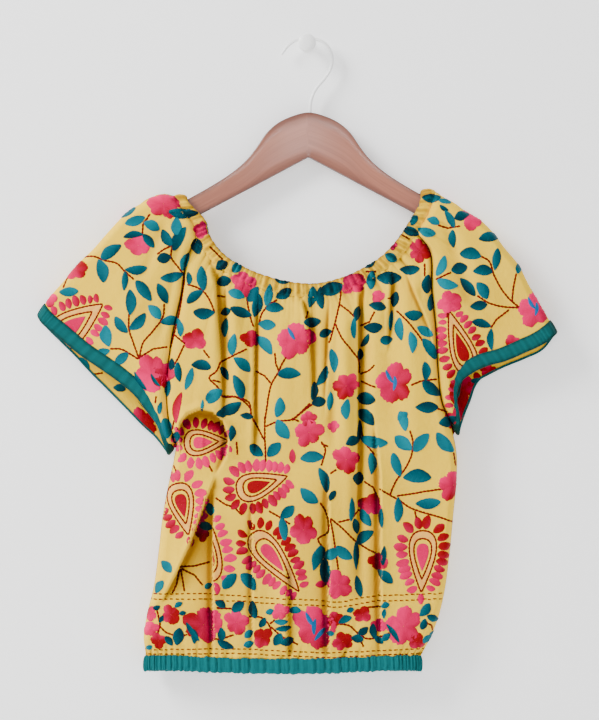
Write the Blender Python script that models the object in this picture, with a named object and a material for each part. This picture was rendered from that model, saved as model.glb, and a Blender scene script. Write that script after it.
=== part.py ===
"""A gathered crop top with raglan sleeves, hanging on a wooden hanger from a round wall peg.

The origin is the middle of the peg's flat back, on the wall. +Z is up and the front of the top
faces -Y, so the wall is the plane Y = 0. Lengths are in millimetres until a mesh is made.
"""

import math

import bmesh
import bpy
import numpy as np
from mathutils import Vector

MM = 0.001

# Cloth
WALL = 1.4
SEAM_GAP = 0.3
HALF_GAP = SEAM_GAP / 2

# Hanger: a bowed bar of wood, its arms sloping down and coming forward at their ends
HANGER_X = 1.6
HANGER_Y = -12.0
ARM_HALF_SPAN = 180.0
ARM_FORWARD = 15.0
ARM_HALF_THICK = 6.0
ARM_EDGE_ROUND = 3.6
NOTCH_Z = -120.7
ARM_SLOPE = 0.533
ARM_TOP_ROWS = (
    # distance from the middle, height of the upper edge
    (0.0, -73.0),
    (17.5, -77.0),
    (34.5, -85.5),
    (45.0, -95.2),
    (54.5, -109.0),
    (65.0, -122.5),
    (77.0, -133.6),
    (88.5, -142.0),
    (105.5, -152.6),
    (130.0, -166.4),
    (158.0, -182.0),
    (180.0, -193.0),
)
ARM_STATIONS = 21

# Hook of bent wire, and the peg that it hangs on
WIRE_RADIUS = 1.8
BORE_RADIUS = 2.15
BORE_FOOT_Z = -91.3
HOOK_CURVE_ROWS = (
    # across from the peg's axis, height
    (3.2, -91.0),
    (3.2, -74.0),
    (3.9, -62.0),
    (9.0, -48.5),
    (18.0, -37.5),
    (24.2, -28.0),
    (26.8, -18.0),
    (25.0, -8.0),
    (19.5, 0.0),
    (11.5, 4.6),
    (0.0, 6.1),
    (-10.0, 4.6),
    (-18.5, -0.2),
    (-23.5, -5.6),
    (-27.0, -11.2),
)
HOOK_POINTS = 40
WIRE_SIDES = 8
PEG_ROWS = (
    # distance from the wall, radius
    (0.0, 7.5),
    (1.8, 7.5),
    (3.2, 4.0),
    (19.0, 4.0),
    (20.0, 8.2),
    (21.6, 9.6),
    (26.0, 9.6),
    (28.2, 8.4),
    (29.2, 5.6),
)
PEG_SIDES = 24

# Neck: an elastic loop that passes over both arms and hangs in a deep curve, front and back
NECK_ROWS = (
    # across, away from the loop's middle plane, height
    (-128.8, 0.0, -164.9),
    (-128.6, 9.8, -165.2),
    (-125.6, 12.3, -170.6),
    (-119.6, 12.5, -177.2),
    (-109.2, 12.5, -188.0),
    (-104.6, 12.5, -204.0),
    (-97.0, 12.5, -216.2),
    (-85.9, 12.5, -227.5),
    (-66.5, 12.5, -239.2),
    (-50.0, 12.5, -246.4),
    (-28.6, 12.5, -252.8),
    (-7.4, 12.5, -256.3),
    (13.8, 12.5, -255.9),
    (32.0, 12.5, -251.8),
    (50.9, 12.5, -244.6),
    (67.6, 12.5, -235.6),
    (84.0, 12.5, -223.6),
    (98.2, 12.5, -207.4),
    (107.8, 12.5, -192.6),
    (114.6, 12.5, -181.6),
    (120.4, 12.3, -168.6),
    (121.8, 9.8, -161.2),
    (121.8, 0.0, -159.2),
)
NECK_Y = -20.5
NECK_X = -3.2
NECK_FAN = 0.65
NECK_FAN_Z = -171.0
MID_Y = -22.0
NECK_CASING_WIDTH = 12.0
NECK_GATHERS = 90
NECK_INSIDE = 1.2
NECK_RIB_LOW = 0.4
NECK_RIB_HIGH = 2.2

# Shares of the neck loop where the raglan seams meet it: 0 is the left arm, 0.25 the front middle
SEAM_FRONT_LEFT = 14 / 180
SEAM_FRONT_RIGHT = 77 / 180
SEAM_BACK_RIGHT = 103 / 180
SEAM_BACK_LEFT = 166 / 180

# Hem casing: a flat oval ring of gathered elastic
HEM_Z = -650.0
HEM_WAVE = 1.6
HEM_LEFT_X = -170.0
HEM_RIGHT_X = 119.0
HEM_HALF_DEPTH = 16.0
HEM_SQUARENESS = 0.42
HEM_HEIGHT = 15.0
HEM_GATHERS = 100
HEM_INSIDE = 1.2
HEM_RIB_LOW = 0.5
HEM_RIB_HIGH = 2.4

# Seams down the front and back of each sleeve, and down each side
UNDERARM_LEFT = (-138.0, MID_Y, -424.0)
UNDERARM_RIGHT = (152.0, MID_Y, -402.0)
RAGLAN_LEFT_ROWS = (
    # across, forward of the middle, height
    (-124.0, 11.0, -222.0),
    (-132.5, 11.0, -267.0),
    (-144.0, 11.0, -321.0),
    (-148.5, 10.0, -372.0),
    (-145.0, 7.0, -404.0),
)
RAGLAN_RIGHT_ROWS = (
    # across, forward of the middle, height
    (127.5, 11.0, -216.0),
    (131.5, 11.0, -262.0),
    (136.0, 11.0, -304.0),
    (138.4, 10.0, -345.0),
    (143.0, 7.0, -381.0),
)
SIDE_LEFT_ROWS = (
    # across, height
    (-141.0, -441.0),
    (-147.3, -470.0),
    (-153.2, -503.0),
    (-156.8, -535.0),
    (-162.6, -577.0),
    (-170.0, -608.0),
    (-173.0, -630.0),
)
SIDE_RIGHT_ROWS = (
    # across, height
    (158.6, -436.0),
    (158.4, -464.0),
    (155.5, -495.0),
    (150.5, -546.0),
    (145.5, -582.0),
    (139.0, -609.0),
    (128.5, -634.0),
)

# Sleeves: the outer fold from the neck to the cuff, and the cuff's front and back edges
SLEEVE_DEPTH = 19.0
CUFF_DEPTH = 12.0
SEAM_PART = 0.82
TOP_FOLD_LEFT_ROWS = (
    # across, height
    (-151.0, -161.2),
    (-162.0, -162.8),
    (-175.0, -169.6),
    (-190.8, -179.7),
    (-202.5, -191.5),
    (-215.2, -205.6),
    (-227.5, -219.6),
    (-239.6, -230.8),
    (-259.7, -254.5),
    (-272.0, -268.5),
    (-285.0, -289.0),
)
TOP_FOLD_RIGHT_ROWS = (
    # across, height
    (144.2, -164.0),
    (157.9, -171.0),
    (166.4, -177.4),
    (184.4, -188.3),
    (197.2, -201.0),
    (208.8, -216.5),
    (223.7, -234.5),
    (235.4, -256.8),
    (246.0, -275.0),
    (257.6, -295.2),
    (264.4, -307.0),
)
CUFF_FRONT_LEFT_ROWS = (
    # share of the way from the underarm, across, height
    (0.0, -147.0, -436.0),
    (0.07, -152.5, -421.0),
    (0.14, -158.4, -404.0),
    (0.21, -169.6, -388.6),
    (0.29, -181.6, -373.0),
    (0.38, -198.0, -359.0),
    (0.48, -218.6, -344.4),
    (0.58, -238.8, -330.6),
    (0.72, -263.0, -310.4),
    (0.86, -278.0, -298.4),
    (1.0, -285.0, -289.0),
)
CUFF_BACK_LEFT_ROWS = (
    # share of the way from the underarm, across, height
    (0.0, -147.0, -436.0),
    (0.12, -161.6, -417.4),
    (0.21, -174.3, -405.8),
    (0.31, -190.2, -389.4),
    (0.43, -212.4, -366.8),
    (0.56, -230.4, -348.8),
    (0.64, -243.0, -335.0),
    (0.80, -263.2, -314.8),
    (0.90, -277.0, -301.0),
    (1.0, -285.0, -289.0),
)
CUFF_FRONT_RIGHT_ROWS = (
    # share of the way from the underarm, across, height
    (0.0, 160.5, -415.0),
    (0.055, 161.4, -401.0),
    (0.12, 159.0, -386.0),
    (0.18, 157.6, -373.5),
    (0.24, 161.5, -360.5),
    (0.34, 174.0, -349.4),
    (0.44, 188.0, -342.4),
    (0.57, 208.4, -336.8),
    (0.73, 230.6, -327.4),
    (0.88, 251.0, -317.6),
    (1.0, 264.4, -307.0),
)
CUFF_BACK_RIGHT_ROWS = (
    # share of the way from the underarm, across, height
    (0.0, 160.5, -415.0),
    (0.07, 167.4, -394.0),
    (0.15, 173.8, -378.0),
    (0.22, 178.4, -364.6),
    (0.27, 183.0, -357.6),
    (0.36, 193.0, -351.4),
    (0.50, 210.9, -342.6),
    (0.66, 231.0, -334.4),
    (0.85, 251.8, -323.6),
    (1.0, 264.4, -307.0),
)

# Depth of the body's two walls, forward or back of the middle
FRONT_DEPTH = 19.0
BACK_DEPTH = 14.0
EDGE_ROUND = 9.0
UNDERARM_ROUND = 34.0

# Folds that hang in the front, each a ridge, or a trough where its rise is negative
FRONT_FOLDS = (
    # x at top, z at top, x at foot, z at foot, rise, reach left, reach right
    (-95.0, -226.0, -87.0, -400.0, -6.0, 5.0, 9.0),
    (-78.0, -232.0, -74.0, -410.0, 4.0, 8.0, 8.0),
    (-55.5, -250.0, -57.5, -420.0, -6.5, 9.0, 5.0),
    (-28.0, -262.0, -30.0, -470.0, 3.5, 16.0, 14.0),
    (5.0, -275.0, 9.0, -400.0, -3.5, 8.0, 6.0),
    (24.5, -262.0, 25.0, -440.0, -4.0, 6.0, 7.0),
    (40.0, -262.0, 38.0, -440.0, 4.5, 9.0, 8.0),
    (55.5, -252.0, 53.0, -622.0, -8.0, 7.0, 9.0),
    (70.0, -252.0, 68.0, -430.0, 4.0, 7.0, 12.0),
    (88.0, -236.0, 88.0, -320.0, -4.0, 6.0, 7.0),
    (108.0, -232.0, 112.0, -470.0, 4.0, 16.0, 14.0),
    (-20.0, -480.0, -22.0, -640.0, 3.0, 22.0, 18.0),
    (100.0, -470.0, 96.0, -640.0, 3.0, 18.0, 16.0),
)

# Places where the cloth folds over itself. The side on the right of the way down stands forward
# for a positive rise, and the side on the left for a negative one.
FRONT_OVERLAPS = (
    # name, reach, ((x, z, rise), ...)
    ("pleat_middle", 20.0, ((22.0, -452.0, 0.0), (22.3, -490.0, 4.0), (22.3, -600.0, 4.5), (22.3, -652.0, 3.0))),
    ("pleat_right", 18.0, ((71.0, -400.0, 0.0), (76.5, -460.0, 5.0), (77.0, -580.0, 5.0), (77.0, -640.0, 1.0))),
    ("pleat_left", 14.0, ((-99.0, -470.0, 0.0), (-99.6, -510.0, 4.5), (-99.6, -600.0, 4.5), (-99.6, -645.0, 1.5))),
    (
        "side_flap_edge",
        18.0,
        (
            (-96.5, -458.0, 0.0),
            (-110.0, -494.0, -6.5),
            (-124.0, -532.0, -6.5),
            (-139.0, -564.0, -5.0),
            (-154.0, -592.0, 0.0),
        ),
    ),
    (
        "side_flap_mouth",
        20.0,
        (
            (-134.0, -424.0, 1.5),
            (-134.0, -404.0, 5.5),
            (-126.5, -394.0, 7.0),
            (-113.5, -388.5, 7.5),
            (-100.0, -390.5, 7.5),
            (-89.0, -400.0, 7.0),
            (-83.0, -417.0, 6.0),
            (-86.0, -438.0, 3.5),
            (-96.5, -458.0, 0.0),
        ),
    ),
)
OVERLAP_EDGE = 1.8

BACK_FOLDS = (
    # x at top, z at top, x at foot, z at foot, rise, reach left, reach right
    (-88.0, -230.0, -92.0, -420.0, -3.0, 8.0, 10.0),
    (-60.0, -250.0, -64.0, -560.0, 2.6, 16.0, 12.0),
    (-30.0, -262.0, -26.0, -440.0, -3.0, 9.0, 8.0),
    (4.0, -270.0, 0.0, -600.0, 2.6, 14.0, 14.0),
    (34.0, -262.0, 40.0, -450.0, -3.2, 8.0, 9.0),
    (66.0, -250.0, 62.0, -620.0, -2.6, 12.0, 14.0),
    (96.0, -232.0, 100.0, -440.0, 2.6, 12.0, 14.0),
)

# Soft folds of the sleeves' fronts, running down and out from the gathered neck
SLEEVE_FOLDS_LEFT = (
    # x at top, z at top, x at foot, z at foot, rise, reach left, reach right
    (-128.0, -200.0, -158.0, -330.0, -3.0, 7.0, 9.0),
    (-136.0, -190.0, -196.0, -300.0, 2.4, 12.0, 10.0),
    (-150.0, -184.0, -176.0, -262.0, -2.2, 8.0, 9.0),
)
SLEEVE_FOLDS_RIGHT = (
    # x at top, z at top, x at foot, z at foot, rise, reach left, reach right
    (141.0, -180.0, 176.0, -300.0, -2.6, 8.0, 9.0),
    (150.0, -180.0, 206.0, -300.0, 2.4, 11.0, 11.0),
    (139.0, -216.0, 152.0, -330.0, 2.0, 8.0, 8.0),
)

# Pleats where each panel leaves the gathered neck and enters the gathered hem
FRONT_PLEATS = 16
BACK_PLEATS = 10
PLEAT_RISE = 2.2
PLEAT_FADE = 0.12
HEM_PLEAT_RISE = 1.4
HEM_PLEAT_FADE = 0.05

# Cuff binding: a band folded over the sleeve's edge
BINDING_WIDTH = 14.5
BINDING_THICK = 1.1
BINDING_GAP = 0.5
BINDING_SHARE = 0.6

# How finely the walls are divided: the levels down a raglan seam, and those below the underarm
SEAM_LEVELS = (0.0, 0.04, 0.08, 0.13, 0.19, 0.25, 0.31, 0.36, 0.395, 0.43, 0.46, 0.485, 0.5)
FRONT_LOW_LEVELS = (0.56, 0.63, 0.71, 0.80, 0.88, 0.94, 1.0)
BACK_LOW_LEVELS = (0.64, 0.80, 0.94, 1.0)
FRONT_COLUMNS = 63
BACK_COLUMNS = 36
NECK_PART_STEPS = 7
SLEEVE_ROWS = 7


def smooth(t):
    """0 below 0, 1 above 1, and an even rise between."""
    t = np.clip(t, 0.0, 1.0)
    return t * t * (3.0 - 2.0 * t)


def unit(vectors):
    return vectors / np.maximum(np.linalg.norm(vectors, axis=-1, keepdims=True), 1e-12)


def through(rows):
    """A smooth curve through the rows' points. It is called with 0 to 1 along its length."""
    points = np.array(rows, float)
    steps = np.linalg.norm(np.diff(points, axis=0), axis=1)
    at = np.concatenate([[0.0], np.cumsum(steps)]) / steps.sum()
    slope = np.gradient(points, at, axis=0)

    def curve(t):
        t = np.asarray(t, float)
        i = np.clip(np.searchsorted(at, t, side="right") - 1, 0, len(at) - 2)
        span = (at[i + 1] - at[i])[..., None]
        s = (t - at[i])[..., None] / span
        return (
            (1 + 2 * s) * (1 - s) ** 2 * points[i]
            + s * (1 - s) ** 2 * span * slope[i]
            + s * s * (3 - 2 * s) * points[i + 1]
            + s * s * (s - 1) * span * slope[i + 1]
        )

    return curve


def through_shares(rows):
    """A curve across and down, through rows of (share, x, z), flat in depth."""
    rows = np.array(rows, float)
    at, points = rows[:, 0], rows[:, 1:]
    slope = np.gradient(points, at, axis=0)

    def curve(t):
        t = np.asarray(t, float)
        i = np.clip(np.searchsorted(at, t, side="right") - 1, 0, len(at) - 2)
        span = (at[i + 1] - at[i])[..., None]
        s = (t - at[i])[..., None] / span
        across_down = (
            (1 + 2 * s) * (1 - s) ** 2 * points[i]
            + s * (1 - s) ** 2 * span * slope[i]
            + s * s * (3 - 2 * s) * points[i + 1]
            + s * s * (s - 1) * span * slope[i + 1]
        )
        return np.stack([across_down[..., 0], np.zeros_like(t), across_down[..., 1]], -1)

    return curve


def rounded(distance, radius):
    """0 at an edge and 1 from one radius inside it, like the side of a round fold."""
    return np.sqrt(np.clip(1 - np.clip(1 - distance / radius, 0, 1) ** 2, 0, 1))


def coons(left, right, top, bottom, u, v):
    """The points at u across and v down a patch between four curves that meet at its corners."""
    u3, v3 = u[..., None], v[..., None]
    sides = (1 - u3) * left(v) + u3 * right(v)
    ends = (1 - v3) * top(u) + v3 * bottom(u)
    first, last = np.zeros_like(u), np.ones_like(u)
    corners = (1 - u3) * ((1 - v3) * left(first) + v3 * left(last))
    corners += u3 * ((1 - v3) * right(first) + v3 * right(last))
    return sides + ends - corners


# The neck loop

FRONT_NECK = [(x, NECK_Y - away, z) for x, away, z in NECK_ROWS]
BACK_NECK = [(x, NECK_Y + away, z) for x, away, z in NECK_ROWS[-2:0:-1]]
NECK_LOOP = through(FRONT_NECK + BACK_NECK + FRONT_NECK[:1])


def neck_edge(s):
    """The neck's elastic edge. s is 0 at the left arm, 0.25 at the front, 0.5 at the right arm."""
    return NECK_LOOP(np.asarray(s, float) % 1.0)


def neck_down(s):
    """The way from the neck's edge into the cloth: down at the front and back, out over the arms."""
    edge = neck_edge(s)
    across = (edge[..., 0] - NECK_X) * NECK_FAN
    return unit(np.stack([across, np.zeros_like(across), edge[..., 2] - NECK_FAN_Z], -1))


def neck_out(s):
    """The way out of the cloth at the neck's edge."""
    step = 2e-3
    along = neck_edge(s + step) - neck_edge(s - step)
    return unit(np.cross(neck_down(s), along))


def neck_seam(s):
    """Where the panels and sleeves start, just below the neck casing."""
    return neck_edge(s) + neck_down(s) * (NECK_CASING_WIDTH + SEAM_GAP)


# Seams

def raglan(start_share, rows, underarm, way):
    """A raglan seam from the neck to the underarm. way is 1 at the front and -1 at the back."""
    middle = [(x, MID_Y - way * forward, z) for x, forward, z in rows]
    return through([tuple(neck_seam(start_share)), *middle, underarm])


def side_seam(underarm, rows, foot_x):
    return through([underarm, *[(x, MID_Y, z) for x, z in rows], (foot_x, MID_Y, HEM_Z)])


def joined(upper, lower):
    """One curve that runs down the raglan seam for its first half and the side seam for the rest."""

    def curve(v):
        v = np.asarray(v, float)[..., None]
        return np.where(v < 0.5, upper(np.clip(2 * v[..., 0], 0, 1)), lower(np.clip(2 * v[..., 0] - 1, 0, 1)))

    return curve


SIDE_LEFT = side_seam(UNDERARM_LEFT, SIDE_LEFT_ROWS, HEM_LEFT_X)
SIDE_RIGHT = side_seam(UNDERARM_RIGHT, SIDE_RIGHT_ROWS, HEM_RIGHT_X)
RAGLAN = {
    ("left", 1): raglan(SEAM_FRONT_LEFT, RAGLAN_LEFT_ROWS, UNDERARM_LEFT, 1),
    ("left", -1): raglan(SEAM_BACK_LEFT, RAGLAN_LEFT_ROWS, UNDERARM_LEFT, -1),
    ("right", 1): raglan(SEAM_FRONT_RIGHT, RAGLAN_RIGHT_ROWS, UNDERARM_RIGHT, 1),
    ("right", -1): raglan(SEAM_BACK_RIGHT, RAGLAN_RIGHT_ROWS, UNDERARM_RIGHT, -1),
}


def hem_edge(s):
    """The hem's ring. s is 0 at the left side, 0.25 at the front, 0.5 at the right side."""
    angle = 2 * math.pi * np.asarray(s, float)
    across, forward = np.cos(angle), np.sin(angle)
    middle, half = (HEM_LEFT_X + HEM_RIGHT_X) / 2, (HEM_RIGHT_X - HEM_LEFT_X) / 2
    x = middle - half * across
    y = MID_Y - HEM_HALF_DEPTH * np.sign(forward) * np.abs(forward) ** HEM_SQUARENESS
    z = HEM_Z + HEM_WAVE * np.sin(3 * angle)
    return np.stack([x, y, z], -1)


def hem_out(s):
    """The way out of the cloth at the hem, level with the floor."""
    step = 1e-3
    along = (hem_edge(s + step) - hem_edge(s - step)) * (1, 1, 0)
    return unit(np.cross(np.broadcast_to((0.0, 0.0, -1.0), along.shape), along))


# Folds

def fold_rise(rows, x, z):
    """How far the folds in rows carry the cloth forward at (x, z)."""
    rise = np.zeros_like(x)
    for top_x, top_z, foot_x, foot_z, height, left, right in rows:
        along = (top_z - z) / (top_z - foot_z)
        aside = x - (top_x + (foot_x - top_x) * np.clip(along, 0, 1))
        reach = np.where(aside < 0, left, right)
        rise += height * np.exp(-((aside / reach) ** 2)) * smooth(along / 0.22) * smooth((1 - along) / 0.3)
    return rise


def overlap_rise(rows, x, z):
    """How far the overlaps in rows carry the cloth forward, or back on their low side."""
    total = np.zeros_like(x)
    for _, reach, path in rows:
        nearest = np.full(x.shape, np.inf)
        step = np.zeros_like(x)
        for (ax, az, a_rise), (bx, bz, b_rise) in zip(path, path[1:]):
            length2 = (bx - ax) ** 2 + (bz - az) ** 2
            t = np.clip(((x - ax) * (bx - ax) + (z - az) * (bz - az)) / length2, 0, 1)
            off_x, off_z = x - ax - t * (bx - ax), z - az - t * (bz - az)
            distance = np.hypot(off_x, off_z)
            side = np.sign((bz - az) * off_x - (bx - ax) * off_z)
            rise = (a_rise + t * (b_rise - a_rise)) * -side * np.tanh(distance / OVERLAP_EDGE)
            rise = rise * np.exp(-distance / reach)
            closer = distance < nearest
            step = np.where(closer, rise, step)
            nearest = np.minimum(nearest, distance)
        total += step
    return total


def pleat_rise(count, u, v):
    """Small pleats that leave the neck's gathers and fade, and others that enter the hem's."""
    wander = 0.3 * np.sin(2 * math.pi * 3 * u + 0.7) + 0.2 * np.sin(2 * math.pi * 7 * u)
    wave = np.cos(2 * math.pi * (count * u + wander))
    uneven = 0.75 + 0.25 * np.sin(2 * math.pi * 5 * u + 2.0)
    near_neck = PLEAT_RISE * np.exp(-v / PLEAT_FADE)
    near_hem = HEM_PLEAT_RISE * np.exp(-(1 - v) / HEM_PLEAT_FADE)
    return wave * uneven * (near_neck + near_hem)


# Panels

def panel_ends(way):
    """The shares of the neck and hem where a panel's left and right edges are."""
    if way == 1:
        return SEAM_FRONT_LEFT, SEAM_FRONT_RIGHT, 0.0, 0.5
    return SEAM_BACK_LEFT, SEAM_BACK_RIGHT, 1.0, 0.5


def panel(way, u, v):
    """The outer face of the front panel, for way 1, or the back panel, for way -1."""
    left, right = joined(RAGLAN["left", way], SIDE_LEFT), joined(RAGLAN["right", way], SIDE_RIGHT)
    neck_from, neck_to, hem_from, hem_to = panel_ends(way)
    depth = FRONT_DEPTH if way == 1 else BACK_DEPTH
    folds = FRONT_FOLDS if way == 1 else BACK_FOLDS
    pleats = FRONT_PLEATS if way == 1 else BACK_PLEATS

    def moved(curve, x_step):
        return lambda t: curve(t) * (1, 0, 1) + (x_step, 0, 0)

    def top(t):
        return neck_seam(neck_from + t * (neck_to - neck_from))

    def bottom(t):
        return hem_edge(hem_from + t * (hem_to - hem_from)) + (0, 0, SEAM_GAP)

    from_left, from_right = moved(left, HALF_GAP), moved(right, -HALF_GAP)
    points = coons(from_left, from_right, moved(top, 0), moved(bottom, 0), u, v)
    x, z = points[..., 0], points[..., 2]
    edge_y = (1 - u) * left(v)[..., 1] + u * right(v)[..., 1] - way * HALF_GAP
    end_y = np.where(v < 0.5, top(u)[..., 1], bottom(u)[..., 1])
    from_end = smooth(np.minimum(v / 0.12, (1 - v) / 0.06))
    full_y = end_y + (MID_Y - way * depth - end_y) * from_end
    from_side = np.minimum(x - from_left(v)[..., 0], from_right(v)[..., 0] - x)
    rise = fold_rise(folds, x, z) * from_end + pleat_rise(pleats, u, v)
    if way == 1:
        rise += overlap_rise(FRONT_OVERLAPS, x, z) * from_end
    round_off = rounded(from_side, EDGE_ROUND)
    points[..., 1] = edge_y + (full_y - edge_y) * round_off - way * rise * smooth(from_side / 20.0)
    at_end = (v <= 0.0) | (v >= 1.0)
    points[..., 1] = np.where(at_end, end_y, points[..., 1])
    return points


# Sleeves

SEAM_SHARE = {
    ("left", 1): (SEAM_FRONT_LEFT, 0.0),
    ("left", -1): (SEAM_BACK_LEFT, 1.0),
    ("right", 1): (SEAM_FRONT_RIGHT, 0.5),
    ("right", -1): (SEAM_BACK_RIGHT, 0.5),
}
CUFF_ROWS = {
    ("left", 1): CUFF_FRONT_LEFT_ROWS,
    ("left", -1): CUFF_BACK_LEFT_ROWS,
    ("right", 1): CUFF_FRONT_RIGHT_ROWS,
    ("right", -1): CUFF_BACK_RIGHT_ROWS,
}


def neck_share(side, way, p):
    """The share of the neck loop beside the point p of a sleeve's edge on the body."""
    start, stop = SEAM_SHARE[side, way]
    return start + (stop - start) * np.clip((p - SEAM_PART) / (1 - SEAM_PART), 0, 1)


def body_edge(side, way, p):
    """The sleeve's edge on the body: up the raglan seam to p = SEAM_PART, then along the neck."""
    outward = -HALF_GAP if side == "left" else HALF_GAP
    on_seam = RAGLAN[side, way](np.clip(1 - p / SEAM_PART, 0, 1)) + (outward, 0, 0)
    on_neck = neck_seam(neck_share(side, way, p)) + (outward, 0, 0)
    return np.where(p[..., None] < SEAM_PART, on_seam, on_neck)


def sleeve(side, way, a, t):
    """The outer face of a sleeve's front or back half, from the body at t 0 to the cuff at t 1.

    a is 0 at the underarm and 1 at the sleeve's outer fold.
    """
    cuff_curve = through_shares(CUFF_ROWS[side, way])
    fold_rows = TOP_FOLD_LEFT_ROWS if side == "left" else TOP_FOLD_RIGHT_ROWS
    folds = SLEEVE_FOLDS_LEFT if side == "left" else SLEEVE_FOLDS_RIGHT
    underarm = tuple(body_edge(side, way, np.array(0.0)) * (1, 0, 1))
    crossing = tuple(body_edge(side, way, np.array(1.0)) * (1, 0, 1))
    cuff_low = tuple(cuff_curve(np.array(0.0)))
    fold_curve = through([crossing, *[(x, 0.0, z) for x, z in fold_rows]])
    underarm_curve = through([underarm, cuff_low])

    def body_flat(p):
        return body_edge(side, way, p) * (1, 0, 1)

    points = coons(underarm_curve, fold_curve, body_flat, cuff_curve, a, t)
    from_body = np.linalg.norm(points - body_flat(a), axis=-1)
    from_fold = np.linalg.norm(points - fold_curve(t), axis=-1)
    from_underarm = np.linalg.norm(points - underarm_curve(t), axis=-1)
    inside = rounded(from_fold, EDGE_ROUND) * rounded(from_underarm, UNDERARM_ROUND)
    depth = SLEEVE_DEPTH + (CUFF_DEPTH - SLEEVE_DEPTH) * smooth((t - 0.35) / 0.65)
    leave = rounded(from_body, EDGE_ROUND)
    rise = fold_rise(folds, points[..., 0], points[..., 2]) * smooth(from_body / 20.0) * inside
    body_y = body_edge(side, way, a)[..., 1]
    points[..., 1] = body_y + (MID_Y - way * depth * inside - body_y) * leave - way * rise
    return points


# Meshes

def normals_of(points):
    """Unit normals of a grid of points, rows by columns."""
    return unit(np.cross(np.gradient(points, axis=1), np.gradient(points, axis=0)))


def ring_normals(rings):
    """Normals of rings of points, longer at a corner so that a parallel wall keeps its distance."""
    down = np.gradient(rings, axis=0)
    ahead = unit(np.cross(np.roll(rings, -1, 1) - rings, down))
    behind = unit(np.cross(rings - np.roll(rings, 1, 1), down))
    normals = unit(ahead + behind)
    return normals / np.clip((normals * ahead).sum(-1, keepdims=True), 0.6, 1.0)


def new_object(name, points, faces, material, smooth_angle=50.0):
    """A closed mesh object from points in millimetres, with its faces pointing outwards."""
    mesh = bpy.data.meshes.new(name)
    mesh.from_pydata([Vector(p) * MM for p in points], [], faces)
    shell = bmesh.new()
    shell.from_mesh(mesh)
    bmesh.ops.recalc_face_normals(shell, faces=shell.faces)
    shell.to_mesh(mesh)
    shell.free()
    mesh.shade_smooth()
    mesh.set_sharp_from_angle(angle=math.radians(smooth_angle))
    mesh.materials.append(material)
    made = bpy.data.objects.new(name, mesh)
    bpy.context.scene.collection.objects.link(made)
    return made


def wall(name, outer, inward, material, ring=False):
    """A cloth wall: the outer grid of points, the same grid moved inward, and the edges between."""
    rows, columns = outer.shape[:2]
    inner = outer + inward
    points = np.concatenate([outer.reshape(-1, 3), inner.reshape(-1, 3)])
    shift = rows * columns
    spans = columns if ring else columns - 1
    faces = []
    for r in range(rows - 1):
        for c in range(spans):
            d = (c + 1) % columns
            corners = (r * columns + c, r * columns + d, (r + 1) * columns + d, (r + 1) * columns + c)
            for half in halves(corners):
                faces += [half, tuple(shift + k for k in reversed(half))]
    for r in (0, rows - 1):
        for c in range(spans):
            a, b = r * columns + c, r * columns + (c + 1) % columns
            faces.append((a, b, shift + b, shift + a))
    if not ring:
        for c in (0, columns - 1):
            for r in range(rows - 1):
                a, b = r * columns + c, (r + 1) * columns + c
                faces.append((a, b, shift + b, shift + a))
    return new_object(name, points, faces, material)


def halves(corners, other_way=False):
    """The two triangles of a four-cornered face, split between its first and third corner."""
    a, b, c, d = corners
    return ((a, b, d), (b, c, d)) if other_way else ((a, b, c), (a, c, d))


def turned_loop(name, profiles, material, smooth_angle=50.0):
    """A solid ring. profiles holds a closed cross-section for each step along the loop."""
    steps, corners = profiles.shape[:2]
    faces = []
    for i in range(steps):
        for k in range(corners):
            j, m = (i + 1) % steps, (k + 1) % corners
            face = (i * corners + k, j * corners + k, j * corners + m, i * corners + m)
            faces += halves(face)
    return new_object(name, profiles.reshape(-1, 3), faces, material, smooth_angle)


def lofted_bar(name, sections, material, other_way=()):
    """A solid bar through closed cross-sections, with flat ends."""
    steps, corners = sections.shape[:2]
    faces = [tuple(range(corners)), tuple(range((steps - 1) * corners, steps * corners))]
    for i in range(steps - 1):
        for k in range(corners):
            m = (k + 1) % corners
            face = (i * corners + k, (i + 1) * corners + k, (i + 1) * corners + m, i * corners + m)
            faces += halves(face, k in other_way)
    return new_object(name, sections.reshape(-1, 3), faces, material, 35.0)


def finish(name, colour, roughness, metallic=0.0):
    """A plain Principled material."""
    material = bpy.data.materials.new(name)
    material.use_nodes = True
    shader = material.node_tree.nodes["Principled BSDF"]
    shader.inputs["Base Color"].default_value = (*colour, 1.0)
    shader.inputs["Roughness"].default_value = roughness
    shader.inputs["Metallic"].default_value = metallic
    return material


# Pieces of the top

def body_panel(name, way, columns, low_levels, material):
    u = np.linspace(0.0, 1.0, columns + 1)
    u = np.concatenate([[0.0, 0.005], u[1:-1], [0.995, 1.0]])
    u, v = np.meshgrid(u, np.array(SEAM_LEVELS + low_levels))
    outer = panel(way, u, v)
    inward = normals_of(outer) * way
    neck_from, neck_to, hem_from, hem_to = panel_ends(way)
    inward[-1] = -hem_out(hem_from + u[0] * (hem_to - hem_from))
    inward[:, :2] = (1.0, 0.0, 0.0)
    inward[:, -2:] = (-1.0, 0.0, 0.0)
    inward[0] = -neck_out(neck_from + u[0] * (neck_to - neck_from))
    inward[1, :2] = unit(inward[1, :2] + inward[0, :2])
    inward[1, -2:] = unit(inward[1, -2:] + inward[0, -2:])
    return wall(name, outer, inward * WALL, material)


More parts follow.
